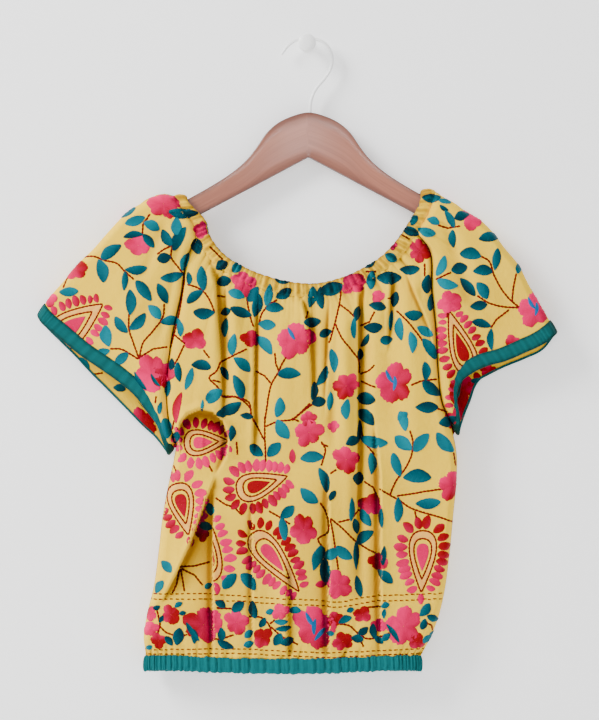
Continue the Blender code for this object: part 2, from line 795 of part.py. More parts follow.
def sleeve_grid(side):
    """A sleeve's outer points from the body to the cuff, and the way inward at each.

    Each ring runs up the front and down the back. The last three rings carry the cuff binding.
    """
    on_seam = SEAM_PART * (1 - 2 * np.array(SEAM_LEVELS[::-1]))
    on_neck = np.linspace(SEAM_PART, 1.0, NECK_PART_STEPS + 1)[1:]
    a = np.concatenate([on_seam, on_neck])
    ring_a = np.concatenate([a, a[-2:0:-1]])
    front = np.arange(len(ring_a)) < len(a)

    def at(t):
        return np.where(front[:, None], sleeve(side, 1, ring_a, t), sleeve(side, -1, ring_a, t))

    start, stop = at(np.zeros(len(ring_a))), at(np.ones(len(ring_a)))
    length = np.linalg.norm((stop - start) * (1, 0, 1), axis=-1)
    band = np.minimum(BINDING_WIDTH / length, BINDING_SHARE)
    shares = np.linspace(0.0, 1.0, SLEEVE_ROWS) ** 1.25
    rows = [at(share * (1 - band)) for share in shares]
    rows += [at(1 - band / 2), at(np.ones(len(ring_a)))]
    outer = np.stack(rows)
    inward = ring_normals(outer)
    inward *= -1 if side == "left" else 1
    sideways = (-1.0, 0.0, 0.0) if side == "left" else (1.0, 0.0, 0.0)
    neck_in = -np.where(
        front[:, None],
        neck_out(neck_share(side, 1, ring_a)),
        neck_out(neck_share(side, -1, ring_a)),
    )
    inward[0] = np.where(ring_a[:, None] < SEAM_PART, sideways, neck_in)
    return outer, inward


def sleeve_tube(name, side, material):
    outer, inward = sleeve_grid(side)
    return wall(name, outer, inward * WALL, material, ring=True)


def cuff_binding(name, side, material):
    """The band over the cuff: it lies on the sleeve's outside and turns in under its edge.

    Its two ends meet at the underarm.
    """
    outer, inward = sleeve_grid(side)
    first, middle, last = outer[-3:]
    first_in, middle_in, last_in = inward[-3:]
    edge_way = unit(last - middle)
    near, far = BINDING_GAP, BINDING_GAP + BINDING_THICK
    profile = [
        first - first_in * near,
        first - first_in * far,
        middle - middle_in * far,
        last - last_in * far + edge_way * far,
        last + last_in * WALL + edge_way * far,
        last + last_in * WALL + edge_way * near,
        last - last_in * near + edge_way * near,
        middle - middle_in * near,
    ]
    return lofted_bar(name, np.stack(profile, axis=1)[1:], material, other_way=(6, 7))


def gathered_ring(name, steps, edge, down, out, width, inside, low, high, material):
    """An elastic casing: a ring of cloth with a rib for each gather outside and a plain inside."""
    rib = np.where(np.arange(steps) % 2 == 0, high, low)
    rib = (rib * (0.85 + 0.15 * np.sin(np.arange(steps) * 1.7)))[:, None]
    profile = [
        edge - out * inside,
        edge + down * 1.5 + out * rib,
        edge + down * width + out * rib * 0.8,
        edge + down * width - out * inside,
    ]
    return turned_loop(name, np.stack(profile, axis=1), material, 80.0)


def neck_casing(material):
    steps = 2 * NECK_GATHERS
    s = np.arange(steps) / steps
    sizes = (NECK_CASING_WIDTH, NECK_INSIDE, NECK_RIB_LOW, NECK_RIB_HIGH)
    return gathered_ring("neck_casing", steps, neck_edge(s), neck_down(s), neck_out(s), *sizes, material)


def hem_casing(material):
    steps = 2 * HEM_GATHERS
    s = np.arange(steps) / steps
    down = np.tile((0.0, 0.0, -1.0), (steps, 1))
    sizes = (HEM_HEIGHT, HEM_INSIDE, HEM_RIB_LOW, HEM_RIB_HIGH)
    return gathered_ring("hem_casing", steps, hem_edge(s), down, hem_out(s), *sizes, material)


# The hanger, its hook and the wall peg

def arm_forward(distance):
    return ARM_FORWARD * (distance / ARM_HALF_SPAN) ** 2


def hanger_wood(material):
    """The bowed bar, swept through its cross-sections from one end to the other."""
    top = np.array(ARM_TOP_ROWS)
    stations = np.linspace(-1.0, 1.0, 2 * ARM_STATIONS + 1)
    r, h = ARM_EDGE_ROUND, ARM_HALF_THICK
    sections = []
    for station in stations:
        distance = abs(station) * ARM_HALF_SPAN
        upper = np.interp(distance, top[:, 0], top[:, 1])
        lower = NOTCH_Z - ARM_SLOPE * distance
        end = max(0.0, (distance - ARM_HALF_SPAN + 8.0) / 8.0)
        shrink = 1.0 - 0.45 * end * end
        middle, half = (upper + lower) / 2, (upper - lower) / 2 * shrink
        y = HANGER_Y - arm_forward(distance)
        corner = [(h, half - r), (h - r * 0.3, half - r * 0.3), (h - r, half)]
        corner += [(r - h, half), (r * 0.3 - h, half - r * 0.3), (-h, half - r)]
        outline = corner + [(-a, -b) for a, b in corner]
        x = HANGER_X + station * ARM_HALF_SPAN
        sections.append([(x, y + a * shrink, middle + b) for a, b in outline])
    wood = lofted_bar("hanger_wood", np.array(sections), material)
    cutter = bore_cutter()
    cut = wood.modifiers.new("Hook bore", "BOOLEAN")
    cut.operation = "DIFFERENCE"
    cut.object = cutter
    return wood


def bore_cutter():
    """The hole that the hook's stem is set into."""
    depth = 2 * (ARM_TOP_ROWS[0][1] - BORE_FOOT_Z)
    shell = bmesh.new()
    sizes = {"radius1": BORE_RADIUS * MM, "radius2": BORE_RADIUS * MM, "depth": depth * MM}
    bmesh.ops.create_cone(shell, cap_ends=True, segments=12, **sizes)
    mesh = bpy.data.meshes.new("hook_bore_cutter")
    shell.to_mesh(mesh)
    shell.free()
    cutter = bpy.data.objects.new("hook_bore_cutter", mesh)
    bpy.context.scene.collection.objects.link(cutter)
    cutter.location = Vector((HOOK_CURVE_ROWS[0][0], HANGER_Y, ARM_TOP_ROWS[0][1])) * MM
    cutter.hide_render = True
    cutter.display_type = "WIRE"
    return cutter


def hanger_hook(material):
    """Wire bent into an open hook, its stem set into the wood."""
    route = through([(x, HANGER_Y, z) for x, z in HOOK_CURVE_ROWS])
    t = np.linspace(0.0, 1.0, HOOK_POINTS)
    places = route(t)
    along = unit(np.gradient(places, axis=0))
    aside = np.cross(along, (0.0, 1.0, 0.0))
    angles = 2 * math.pi * np.arange(WIRE_SIDES) / WIRE_SIDES
    sections = [
        places + WIRE_RADIUS * (math.cos(a) * aside + math.sin(a) * np.array((0.0, 1.0, 0.0)))
        for a in angles
    ]
    return lofted_bar("hanger_hook", np.stack(sections, axis=1), material)


def wall_peg(material):
    """A turned peg: a flange on the wall, a stem, and a round head that keeps the hook on."""
    angles = 2 * math.pi * np.arange(PEG_SIDES) / PEG_SIDES
    rings = [
        [(radius * math.cos(a), -out, radius * math.sin(a)) for a in angles] for out, radius in PEG_ROWS
    ]
    return lofted_bar("wall_peg", np.array(rings), material)


def main():
    for old in list(bpy.data.objects):
        bpy.data.objects.remove(old)
    cotton = finish("embroidered_cotton", (0.80, 0.56, 0.19), 0.85)
    teal = finish("teal_cotton", (0.02, 0.22, 0.22), 0.8)
    wood = finish("varnished_wood", (0.36, 0.17, 0.11), 0.35)
    white_metal = finish("white_wire", (0.85, 0.85, 0.84), 0.35)
    white_plastic = finish("white_plastic", (0.9, 0.9, 0.89), 0.4)
    body_panel("front_panel", 1, FRONT_COLUMNS, FRONT_LOW_LEVELS, cotton)
    body_panel("back_panel", -1, BACK_COLUMNS, BACK_LOW_LEVELS, cotton)
    sleeve_tube("sleeve_left", "left", cotton)
    sleeve_tube("sleeve_right", "right", cotton)
    neck_casing(cotton)
    hem_casing(teal)
    cuff_binding("cuff_binding_left", "left", teal)
    cuff_binding("cuff_binding_right", "right", teal)
    hanger_wood(wood)
    hanger_hook(white_metal)
    wall_peg(white_plastic)


main()
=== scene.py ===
# %% [markdown]
# # A gathered crop top on a wooden hanger
#
# The real thing is a small summer top of thin yellow cotton, embroidered all over by hand. Elastic
# gathers it at the neck and the hem, and plain teal cotton binds the cuffs and the hem. It hangs on
# a bowed wooden hanger whose wire hook sits on a round peg in a white wall.
#
# The lesson starts with the room, the finishes and the measurements. Then it goes the way a
# dressmaker does: first the panels and sleeves, then the gathered bands and the bindings. The
# hanger, its hook and the peg follow, and the embroidery is sewn on last.

# %% Load the frame
import math

import bmesh
import bpy
import numpy as np
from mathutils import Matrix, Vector
from mathutils.bvhtree import BVHTree


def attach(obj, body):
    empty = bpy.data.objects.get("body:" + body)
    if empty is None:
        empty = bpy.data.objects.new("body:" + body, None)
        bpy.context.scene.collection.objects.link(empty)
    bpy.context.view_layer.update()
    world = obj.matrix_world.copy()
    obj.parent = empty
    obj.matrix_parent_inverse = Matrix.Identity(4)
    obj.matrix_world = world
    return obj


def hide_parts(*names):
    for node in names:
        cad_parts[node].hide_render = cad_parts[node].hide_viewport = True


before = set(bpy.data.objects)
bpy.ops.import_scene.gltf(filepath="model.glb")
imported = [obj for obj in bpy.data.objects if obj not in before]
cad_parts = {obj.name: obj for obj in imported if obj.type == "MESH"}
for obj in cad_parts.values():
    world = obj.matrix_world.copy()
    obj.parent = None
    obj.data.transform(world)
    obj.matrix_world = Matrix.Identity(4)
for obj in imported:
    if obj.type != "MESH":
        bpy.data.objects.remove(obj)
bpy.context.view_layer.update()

MM = 0.001

# %% [markdown]
# ## Reading places off the photograph
#
# The photograph looks straight at the wall, so a place in it is a place on the garment: one picture
# element is 1.06 mm. The peg's middle is the origin. Everything that is placed one by one in this lesson
# is written in picture elements across and down, and goes through this one function.

# %% From the photograph to millimetres
PIXEL = 1.06
PEG_ACROSS, PEG_DOWN = 307.0, 43.0
PHOTO_WIDTH, PHOTO_HEIGHT = 599, 720


def place(across, down):
    """The millimetres across and up from the peg of a place in the photograph."""
    return (across - PEG_ACROSS) * PIXEL, (PEG_DOWN - down) * PIXEL


# %% [markdown]
# ## The room
#
# A garment on a white wall needs three things: the wall, a soft light from the upper left, and a
# camera far away, so that nothing leans. The wall is clear from behind. That lets the back of the
# top be looked at too. It glows faintly, like a lit studio backdrop, so the back isn't dark. The
# floor is pale and far below.

# %% Node and object helpers
def node(tree, kind, inputs, **settings):
    """A new shader node. inputs holds a value or a socket for each input's name or number."""
    made = tree.nodes.new("ShaderNode" + kind)
    for key, value in settings.items():
        setattr(made, key, value)
    for key, value in inputs.items():
        if isinstance(value, bpy.types.NodeSocket):
            tree.links.new(value, made.inputs[key])
        else:
            made.inputs[key].default_value = value
    return made


def maths(tree, operation, *values):
    """The result of a Math node. Each value is a number or a socket."""
    return node(tree, "Math", dict(enumerate(values)), operation=operation).outputs[0]


def stretched(tree, spot, times):
    """A place multiplied along each axis, which draws a texture out along the others."""
    return node(tree, "VectorMath", {0: spot, 1: times}, operation="MULTIPLY").outputs[0]


def noise(tree, spot, scale, detail, distortion=0.0):
    """The value of a noise texture."""
    inputs = {"Vector": spot, "Scale": scale, "Detail": detail, "Distortion": distortion}
    return node(tree, "TexNoise", inputs).outputs[0]


def mixed(tree, amount, first, second, **settings):
    """The first colour where the amount is 0, and the second where it is 1."""
    return node(tree, "Mix", {0: amount, 6: first, 7: second}, data_type="RGBA", **settings).outputs[2]


def stored(tree, name, output="Fac"):
    """What a mesh keeps at each point under a name."""
    return node(tree, "Attribute", {}, attribute_name=name).outputs[output]


def flat_millimetres(tree, uv_map):
    """The place on the flat cloth or in the stitches, in millimetres."""
    flat = node(tree, "UVMap", {}, uv_map=uv_map).outputs["UV"]
    return node(tree, "VectorMath", {0: flat, 3: 1000.0}, operation="SCALE").outputs[0]


def cover(tree, shader, base, height, strength, distance):
    """Give a shader its colour, and its bumps from a height."""
    tree.links.new(base, shader.inputs["Base Color"])
    bump = node(tree, "Bump", {"Strength": strength, "Distance": distance, "Height": height})
    tree.links.new(bump.outputs[0], shader.inputs["Normal"])


def blank_material(name):
    """A material, its node tree and its shader."""
    material = bpy.data.materials.new(name)
    material.use_nodes = True
    tree = material.node_tree
    return material, tree, tree.nodes["Principled BSDF"]


def colour(red, green, blue):
    """A colour given as 0 to 255, made linear for the shader."""
    parts = [c / 255 for c in (red, green, blue)]
    return (*[p / 12.92 if p < 0.04045 else ((p + 0.055) / 1.055) ** 2.4 for p in parts], 1.0)


def only(piece):
    """Select one object and nothing else, as a click on it does."""
    if bpy.context.object and bpy.context.object.mode != "OBJECT":
        bpy.ops.object.mode_set(mode="OBJECT")
    bpy.ops.object.select_all(action="DESELECT")
    piece.select_set(True)
    bpy.context.view_layer.objects.active = piece


def modified(piece, kind, name, **settings):
    """Add a modifier to the active object and apply it."""
    modifier = piece.modifiers.new(name, kind)
    for key, value in settings.items():
        setattr(modifier, key, value)
    bpy.ops.object.modifier_apply(modifier=modifier.name)


# %% The wall and the floor
def stage_plane(name, size, location, rotation, glow, see_through):
    """A matt plane of the room, which may glow and may be clear from behind."""
    bpy.ops.object.select_all(action="DESELECT")
    bpy.ops.mesh.primitive_plane_add(size=size, location=location, rotation=rotation)
    plane = bpy.context.object
    plane.name = name
    material, tree, shader = blank_material(name)
    shader.inputs["Base Color"].default_value = WALL_SHADE
    shader.inputs["Roughness"].default_value = 0.9
    shader.inputs["Specular IOR Level"].default_value = 0.1
    shader.inputs["Emission Color"].default_value = WALL_SHADE
    shader.inputs["Emission Strength"].default_value = glow
    if see_through:
        behind = node(tree, "NewGeometry", {}).outputs["Backfacing"]
        clear = node(tree, "BsdfTransparent", {}).outputs[0]
        either = node(tree, "MixShader", {0: behind, 1: shader.outputs[0], 2: clear})
        tree.links.new(either.outputs[0], tree.nodes["Material Output"].inputs["Surface"])
    plane.data.materials.append(material)


UPRIGHT, LEVEL = (math.pi / 2, 0.0, 0.0), (0.0, 0.0, 0.0)
WALL_SHADE = (0.93, 0.93, 0.93, 1.0)
WALL_GLOW = 0.45
stage_plane("room_wall", 6.0, (0.0, 0.0006, 0.9), UPRIGHT, glow=WALL_GLOW, see_through=True)
stage_plane("room_floor", 8.0, (0.0, 0.0, -1.15), LEVEL, glow=0.0, see_through=False)

# %% The eye
EYE_AWAY = 3.0
TOP_AWAY = 0.022  # from the wall to the middle of the top
SENSOR = 36.0
middle_x, middle_z = place(PHOTO_WIDTH / 2, PHOTO_HEIGHT / 2)
picture_height = PHOTO_HEIGHT * PIXEL * MM

eye = bpy.data.objects.new("eye", bpy.data.cameras.new("eye"))
bpy.context.scene.collection.objects.link(eye)
eye.location = (middle_x * MM, -TOP_AWAY - EYE_AWAY, middle_z * MM)
eye.rotation_euler = UPRIGHT
eye.data.sensor_width = SENSOR
eye.data.lens = SENSOR * EYE_AWAY / picture_height
bpy.context.scene.camera = eye
print("lens, mm:", round(eye.data.lens, 1))

# %% The light
LIGHTS = (
    # name, place, aimed at, width, height, watts
    ("window", (-2.1, -1.5, 1.4), (0, 0, -0.35), 1, 1.3, 142),
    ("fill", (1.7, -2.3, -0.2), (0, 0, -0.35), 2.4, 2.4, 12),
    ("strip", (0.04, -3, 0.12), (0, 0, -0.1), 0.06, 0.9, 5),
)
for name, where, aim, width, height, watts in LIGHTS:
    lamp = bpy.data.objects.new(name, bpy.data.lights.new(name, "AREA"))
    lamp.data.energy = watts
    lamp.data.shape = "RECTANGLE"
    lamp.data.size = width
    lamp.data.size_y = height
    lamp.location = where
    lamp.rotation_euler = (Vector(aim) - Vector(where)).to_track_quat("-Z", "Y").to_euler()
    bpy.context.scene.collection.objects.link(lamp)

world = bpy.data.worlds.new("room")
world.use_nodes = True
daylight = world.node_tree.nodes["Background"]
daylight.inputs["Color"].default_value = (1.0, 1.0, 1.0, 1.0)
daylight.inputs["Strength"].default_value = 0.78
bpy.context.scene.world = world

# %% [markdown]
# ## Finishes
#
# Each finish starts from the plain shader and gets the detail that the real one has. Cotton is a
# weave: two waves that cross, read from the flat places in the UV map, with thicker threads here
# and there.

# %% Cotton
YARN = 0.55


def cotton(name, shade, deep_shade, roughness):
    """Plain woven cotton, with slubs, slight colour changes and a soft crinkle, and painted shade in its
    creases.
    """
    material, tree, shader = blank_material(name)
    milli = flat_millimetres(tree, "cloth")
    across, down = node(tree, "SeparateXYZ", {0: milli}).outputs[:2]
    warp = maths(tree, "SINE", maths(tree, "MULTIPLY", across, 2 * math.pi / YARN))
    weft = maths(tree, "SINE", maths(tree, "MULTIPLY", down, 2 * math.pi / YARN))
    weave = maths(tree, "MULTIPLY", warp, weft)
    slub = noise(tree, stretched(tree, milli, (0.04, 1.1, 1.0)), 1.0, 2.0)
    rise = noise(tree, stretched(tree, milli, (0.9, 0.05, 1.0)), 1.0, 2.0)
    slubs = maths(tree, "ADD", slub, rise)
    patch = noise(tree, milli, 0.035, 3.0)
    tone = maths(tree, "MULTIPLY_ADD", slubs, 0.35, -0.35)
    tone = maths(tree, "MULTIPLY_ADD", patch, 0.5, tone)
    dye_and_painted_shade = mixed(tree, tone, colour(*deep_shade), colour(*shade), clamp_factor=True)
    # Painted shade: the colour is mixed towards a dark brown by the number the cloth keeps at each point,
    # largest in creases and beside seams and tucks.
    painted_shade = maths(tree, "MULTIPLY", stored(tree, "painted_shade"), 0.9)
    painted_crease_colour = tuple(part * c for part, c in zip((0.36, 0.26, 0.18), colour(*deep_shade))) + (1.0,)
    dye_and_painted_shade = mixed(tree, painted_shade, dye_and_painted_shade, painted_crease_colour)
    crinkle = noise(tree, milli, 0.16, 4.0)
    height = maths(tree, "MULTIPLY_ADD", weave, 0.05, 0.0)
    height = maths(tree, "MULTIPLY_ADD", slubs, 0.22, height)
    height = maths(tree, "MULTIPLY_ADD", crinkle, 1.5, height)
    cover(tree, shader, dye_and_painted_shade, height, 0.55, 0.0009)
    shader.inputs["Roughness"].default_value = roughness
    shader.inputs["Sheen Weight"].default_value = 0.03
    shader.inputs["Sheen Roughness"].default_value = 0.5
    shader.inputs["Specular IOR Level"].default_value = 0.08
    return material


COTTON = cotton("embroidered_cotton", (248, 210, 36), (238, 190, 24), 0.88)
TEAL = cotton("teal_cotton", (8, 110, 110), (0, 86, 90), 0.8)

# %% [markdown]
# Embroidery thread is cotton with a silky shine. A stitch is a narrow round cord, so the bump is a
# wave across the stitches, and each thread takes the dye a little differently.

# %% Embroidery threads
THREAD_WIDTH = 0.62


def thread(name, low_shade, high_shade):
    """Satin stitch between two shades. The tint of the patch says where between them it is."""
    material, tree, shader = blank_material(name)
    milli = flat_millimetres(tree, "stitch")
    along = node(tree, "SeparateXYZ", {0: milli}).outputs[0]
    cord = maths(tree, "SINE", maths(tree, "MULTIPLY", along, 2 * math.pi / THREAD_WIDTH))
    strand = noise(tree, stretched(tree, milli, (1.9, 0.12, 1.0)), 1.0, 3.0)
    tint = maths(tree, "ADD", stored(tree, "tint"), maths(tree, "MULTIPLY_ADD", strand, 0.5, -0.25))
    ramp = node(tree, "ValToRGB", {0: tint})
    for element, shade in zip(ramp.color_ramp.elements, (low_shade, high_shade)):
        element.color = colour(*shade)
    # Painted shade: the thread is darkened where the cloth under it has painted shade.
    painted_shade_factor = maths(tree, "MULTIPLY_ADD", stored(tree, "painted_shade"), -0.8, 1.0)
    dye_and_painted_shade = mixed(tree, 1.0, ramp.outputs[0], painted_shade_factor, blend_type="MULTIPLY")
    height = maths(tree, "MULTIPLY_ADD", cord, 0.25, 0.0)
    height = maths(tree, "MULTIPLY_ADD", strand, 1.2, height)
    cover(tree, shader, dye_and_painted_shade, height, 0.5, 0.0003)
    shader.inputs["Roughness"].default_value = 0.6
    shader.inputs["Specular IOR Level"].default_value = 0.06
    return material


LEAF_THREAD = thread("leaf_thread", (0, 46, 58), (0, 116, 130))
PETAL_THREAD = thread("petal_thread", (140, 0, 10), (228, 0, 92))
STEM_THREAD = thread("stem_thread", (78, 4, 6), (132, 14, 14))
PEACH_THREAD = thread("peach_thread", (242, 164, 66), (248, 186, 84))
BLUE_THREAD = thread("blue_thread", (10, 70, 128), (44, 112, 160))

# %% [markdown]
# The wood is stained and varnished: long grain along the arms under a thin glossy coat. The wire and
# the peg are white and smooth, with the faint unevenness of paint and of moulded plastic.

# %% Wood, enamelled wire and plastic
def stained_wood(name):
    """Long grain between two browns, with painted shade on the rounded edges."""
    material, tree, shader = blank_material(name)
    spot = stored(tree, "grain", "Vector")
    grain = noise(tree, stretched(tree, spot, (9.0, 260.0, 260.0)), 1.0, 6.0, 0.6)
    cloud = noise(tree, stretched(tree, spot, (4.0, 60.0, 60.0)), 1.0, 3.0)
    tone = maths(tree, "MULTIPLY_ADD", grain, 0.7, -0.1)
    tone = maths(tree, "MULTIPLY_ADD", cloud, 0.5, tone)
    stain_and_edge_shade = mixed(tree, tone, colour(104, 44, 26), colour(178, 108, 80), clamp_factor=True)
    # Painted shade: a dark brown is mixed in near the rounded edges
    stain_and_edge_shade = mixed(tree, stored(tree, "painted_edge_shade"), stain_and_edge_shade, colour(66, 24, 14))
    cover(tree, shader, stain_and_edge_shade, grain, 0.25, 0.0003)
    shader.inputs["Roughness"].default_value = 0.42
    shader.inputs["Coat Weight"].default_value = 0.8
    shader.inputs["Coat Roughness"].default_value = 0.16
    return material


def smooth_white(name, shade, roughness, coat):
    """A smooth white coat with the faintest dust and specks."""
    material, tree, shader = blank_material(name)
    spot = node(tree, "TexCoord", {}).outputs["Object"]
    dull = tuple(0.93 * c for c in colour(*shade)[:3]) + (1.0,)
    dust = mixed(tree, noise(tree, spot, 60.0, 4.0), dull, colour(*shade))
    cover(tree, shader, dust, noise(tree, spot, 420.0, 3.0), 0.2, 0.0001)
    shader.inputs["Roughness"].default_value = roughness
    shader.inputs["Coat Weight"].default_value = coat
    return material


WOOD = stained_wood("varnished_wood")
WIRE = smooth_white("white_wire", (253, 253, 252), 0.3, 0.4)
PLASTIC = smooth_white("white_plastic", (253, 253, 251), 0.38, 0.2)

# %% [markdown]
# ## The measurements
#
# The cloth, the hanger and the peg are drawn from the same measurements as the plain solids of the
# part, in millimetres, so the detailed pieces lie where the solids are.

# %% The hanger, its hook and the peg
HANGER_X = 1.6
HANGER_Y = -12.0
ARM_HALF_SPAN = 180.0
ARM_FORWARD = 15.0
ARM_HALF_THICK = 6.0
ARM_EDGE_ROUND = 3.6
NOTCH_Z = -120.7
ARM_SLOPE = 0.533
ARM_TOP_ROWS = (
    # distance from the middle, height of the upper edge
    (0, -73), (17.5, -77), (34.5, -85.5), (45, -95.2), (54.5, -109), (65, -122.5), (77, -133.6),
    (88.5, -142), (105.5, -152.6), (130, -166.4), (158, -182), (180, -193),
)
WIRE_RADIUS = 1.8
HOOK_CURVE_ROWS = (
    # across from the peg's axis, height
    (3.2, -91), (3.2, -74), (3.9, -62), (9, -48.5), (18, -37.5), (24.2, -28), (26.8, -18), (25, -8),
    (19.5, 0), (11.5, 4.6), (0, 6.1), (-10, 4.6), (-18.5, -0.2), (-23.5, -5.6), (-27, -11.2),
)
PEG_ROWS = (
    # distance from the wall, radius
    (0, 7.5), (1.8, 7.5), (3.2, 4), (19, 4), (20, 8.2), (21.6, 9.6), (26, 9.6), (28.2, 8.4),
    (29.2, 5.6),
)

# %% The neck and the hem
NECK_ROWS = (
    # across, away from the loop's middle plane, height
    (-128.8, 0, -164.9), (-128.6, 9.8, -165.2), (-125.6, 12.3, -170.6), (-119.6, 12.5, -177.2),
    (-109.2, 12.5, -188), (-104.6, 12.5, -204), (-97, 12.5, -216.2), (-85.9, 12.5, -227.5),
    (-66.5, 12.5, -239.2), (-50, 12.5, -246.4), (-28.6, 12.5, -252.8), (-7.4, 12.5, -256.3),
    (13.8, 12.5, -255.9), (32, 12.5, -251.8), (50.9, 12.5, -244.6), (67.6, 12.5, -235.6),
    (84, 12.5, -223.6), (98.2, 12.5, -207.4), (107.8, 12.5, -192.6), (114.6, 12.5, -181.6),
    (120.4, 12.3, -168.6), (121.8, 9.8, -161.2), (121.8, 0, -159.2),
)
NECK_Y = -20.5
NECK_X = -3.2
NECK_FAN = 0.65
NECK_FAN_Z = -171.0
MID_Y = -22.0
NECK_CASING_WIDTH = 12.0

# Shares of the neck loop where the raglan seams meet it: 0 is the left arm, 0.25 the front middle
SEAM_FRONT_LEFT = 14 / 180
SEAM_FRONT_RIGHT = 77 / 180
SEAM_BACK_RIGHT = 103 / 180
SEAM_BACK_LEFT = 166 / 180

# Hem casing: a flat oval ring of gathered elastic
HEM_Z = -650.0
HEM_WAVE = 1.6
HEM_LEFT_X = -170.0
HEM_RIGHT_X = 119.0
HEM_HALF_DEPTH = 16.0
HEM_SQUARENESS = 0.42
HEM_HEIGHT = 15.0

# %% The seams
UNDERARM_LEFT = (-138.0, MID_Y, -424.0)
UNDERARM_RIGHT = (152.0, MID_Y, -402.0)
RAGLAN_LEFT_ROWS = (
    # across, forward of the middle, height
    (-124, 11, -222), (-132.5, 11, -267), (-144, 11, -321), (-148.5, 10, -372), (-145, 7, -404),
)
RAGLAN_RIGHT_ROWS = (
    # across, forward of the middle, height
    (127.5, 11, -216), (131.5, 11, -262), (136, 11, -304), (138.4, 10, -345), (143, 7, -381),
)
SIDE_LEFT_ROWS = (
    # across, height
    (-141, -441), (-147.3, -470), (-153.2, -503), (-156.8, -535), (-162.6, -577), (-170, -608),
    (-173, -630),
)
SIDE_RIGHT_ROWS = (
    # across, height
    (158.6, -436), (158.4, -464), (155.5, -495), (150.5, -546), (145.5, -582), (139, -609),
    (128.5, -634),
)

# %% The sleeves
SLEEVE_DEPTH = 19.0
CUFF_DEPTH = 12.0
SEAM_PART = 0.82
TOP_FOLD_LEFT_ROWS = (
    # across, height
    (-151, -161.2), (-162, -162.8), (-175, -169.6), (-190.8, -179.7), (-202.5, -191.5),
    (-215.2, -205.6), (-227.5, -219.6), (-239.6, -230.8), (-259.7, -254.5), (-272, -268.5),
    (-285, -289),
)
TOP_FOLD_RIGHT_ROWS = (
    # across, height
    (144.2, -164), (157.9, -171), (166.4, -177.4), (184.4, -188.3), (197.2, -201), (208.8, -216.5),
    (223.7, -234.5), (235.4, -256.8), (246, -275), (257.6, -295.2), (264.4, -307),
)
CUFF_FRONT_LEFT_ROWS = (
    # share of the way from the underarm, across, height
    (0, -147, -436), (0.07, -152.5, -421), (0.14, -158.4, -404), (0.21, -169.6, -388.6),
    (0.29, -181.6, -373), (0.38, -198, -359), (0.48, -218.6, -344.4), (0.58, -238.8, -330.6),
    (0.72, -263, -310.4), (0.86, -278, -298.4), (1, -285, -289),
)
CUFF_BACK_LEFT_ROWS = (
    # share of the way from the underarm, across, height
    (0, -147, -436), (0.12, -161.6, -417.4), (0.21, -174.3, -405.8), (0.31, -190.2, -389.4),
    (0.43, -212.4, -366.8), (0.56, -230.4, -348.8), (0.64, -243, -335), (0.80, -263.2, -314.8),
    (0.90, -277, -301), (1, -285, -289),
)
CUFF_FRONT_RIGHT_ROWS = (
    # share of the way from the underarm, across, height
    (0, 160.5, -415), (0.055, 161.4, -401), (0.12, 159, -386), (0.18, 157.6, -373.5),
    (0.24, 161.5, -360.5), (0.34, 174, -349.4), (0.44, 188, -342.4), (0.57, 208.4, -336.8),
    (0.73, 230.6, -327.4), (0.88, 251, -317.6), (1, 264.4, -307),
)
CUFF_BACK_RIGHT_ROWS = (
    # share of the way from the underarm, across, height
    (0, 160.5, -415), (0.07, 167.4, -394), (0.15, 173.8, -378), (0.22, 178.4, -364.6),
    (0.27, 183, -357.6), (0.36, 193, -351.4), (0.50, 210.9, -342.6), (0.66, 231, -334.4),
    (0.85, 251.8, -323.6), (1, 264.4, -307),
)

# %% The depth of the body, and its folds
FRONT_DEPTH = 19.0
BACK_DEPTH = 14.0
EDGE_ROUND = 9.0
UNDERARM_ROUND = 34.0

# Folds that hang in the front, each a ridge, or a trough where its rise is negative
FRONT_FOLDS = (
    # x at top, z at top, x at foot, z at foot, rise, reach left, reach right
    (-95, -226, -87, -400, -6, 5, 9), (-78, -232, -74, -410, 4, 8, 8),
    (-55.5, -250, -57.5, -420, -6.5, 9, 5), (-28, -262, -30, -470, 3.5, 16, 14),
    (5, -275, 9, -400, -3.5, 8, 6), (24.5, -262, 25, -440, -4, 6, 7), (40, -262, 38, -440, 4.5, 9, 8),
    (55.5, -252, 53, -622, -8, 7, 9), (70, -252, 68, -430, 4, 7, 12), (88, -236, 88, -320, -4, 6, 7),
    (108, -232, 112, -470, 4, 16, 14), (-20, -480, -22, -640, 3, 22, 18),
    (100, -470, 96, -640, 3, 18, 16),
)

# Places where the cloth folds over itself. The side on the right of the way down stands forward
# for a positive rise, and the side on the left for a negative one.
FRONT_OVERLAPS = (
    # name, reach, ((x, z, rise), ...)
    ("pleat_middle", 20, ((22, -452, 0), (22.3, -490, 4), (22.3, -600, 4.5), (22.3, -652, 3))),
    ("pleat_right", 18, ((71, -400, 0), (76.5, -460, 5), (77, -580, 5), (77, -640, 1))),
    ("pleat_left", 14, ((-99, -470, 0), (-99.6, -510, 4.5), (-99.6, -600, 4.5), (-99.6, -645, 1.5))),
    ("side_flap_edge", 18, (
        (-96.5, -458, 0), (-110, -494, -6.5), (-124, -532, -6.5), (-139, -564, -5), (-154, -592, 0),
    )),
    ("side_flap_mouth", 20, (
        (-134, -424, 1.5), (-134, -404, 5.5), (-126.5, -394, 7), (-113.5, -388.5, 7.5),
        (-100, -390.5, 7.5), (-89, -400, 7), (-83, -417, 6), (-86, -438, 3.5), (-96.5, -458, 0),
    )),
)
OVERLAP_EDGE = 1.0
FOLDS_INSET = 20.0  # folds have their full rise from here on, measured from the panel's or sleeve's edge

BACK_FOLDS = (
    # x at top, z at top, x at foot, z at foot, rise, reach left, reach right
    (-88, -230, -92, -420, -3, 8, 10), (-60, -250, -64, -560, 2.6, 16, 12),
    (-30, -262, -26, -440, -3, 9, 8), (4, -270, 0, -600, 2.6, 14, 14),
    (34, -262, 40, -450, -3.2, 8, 9), (66, -250, 62, -620, -2.6, 12, 14),
    (96, -232, 100, -440, 2.6, 12, 14),
)

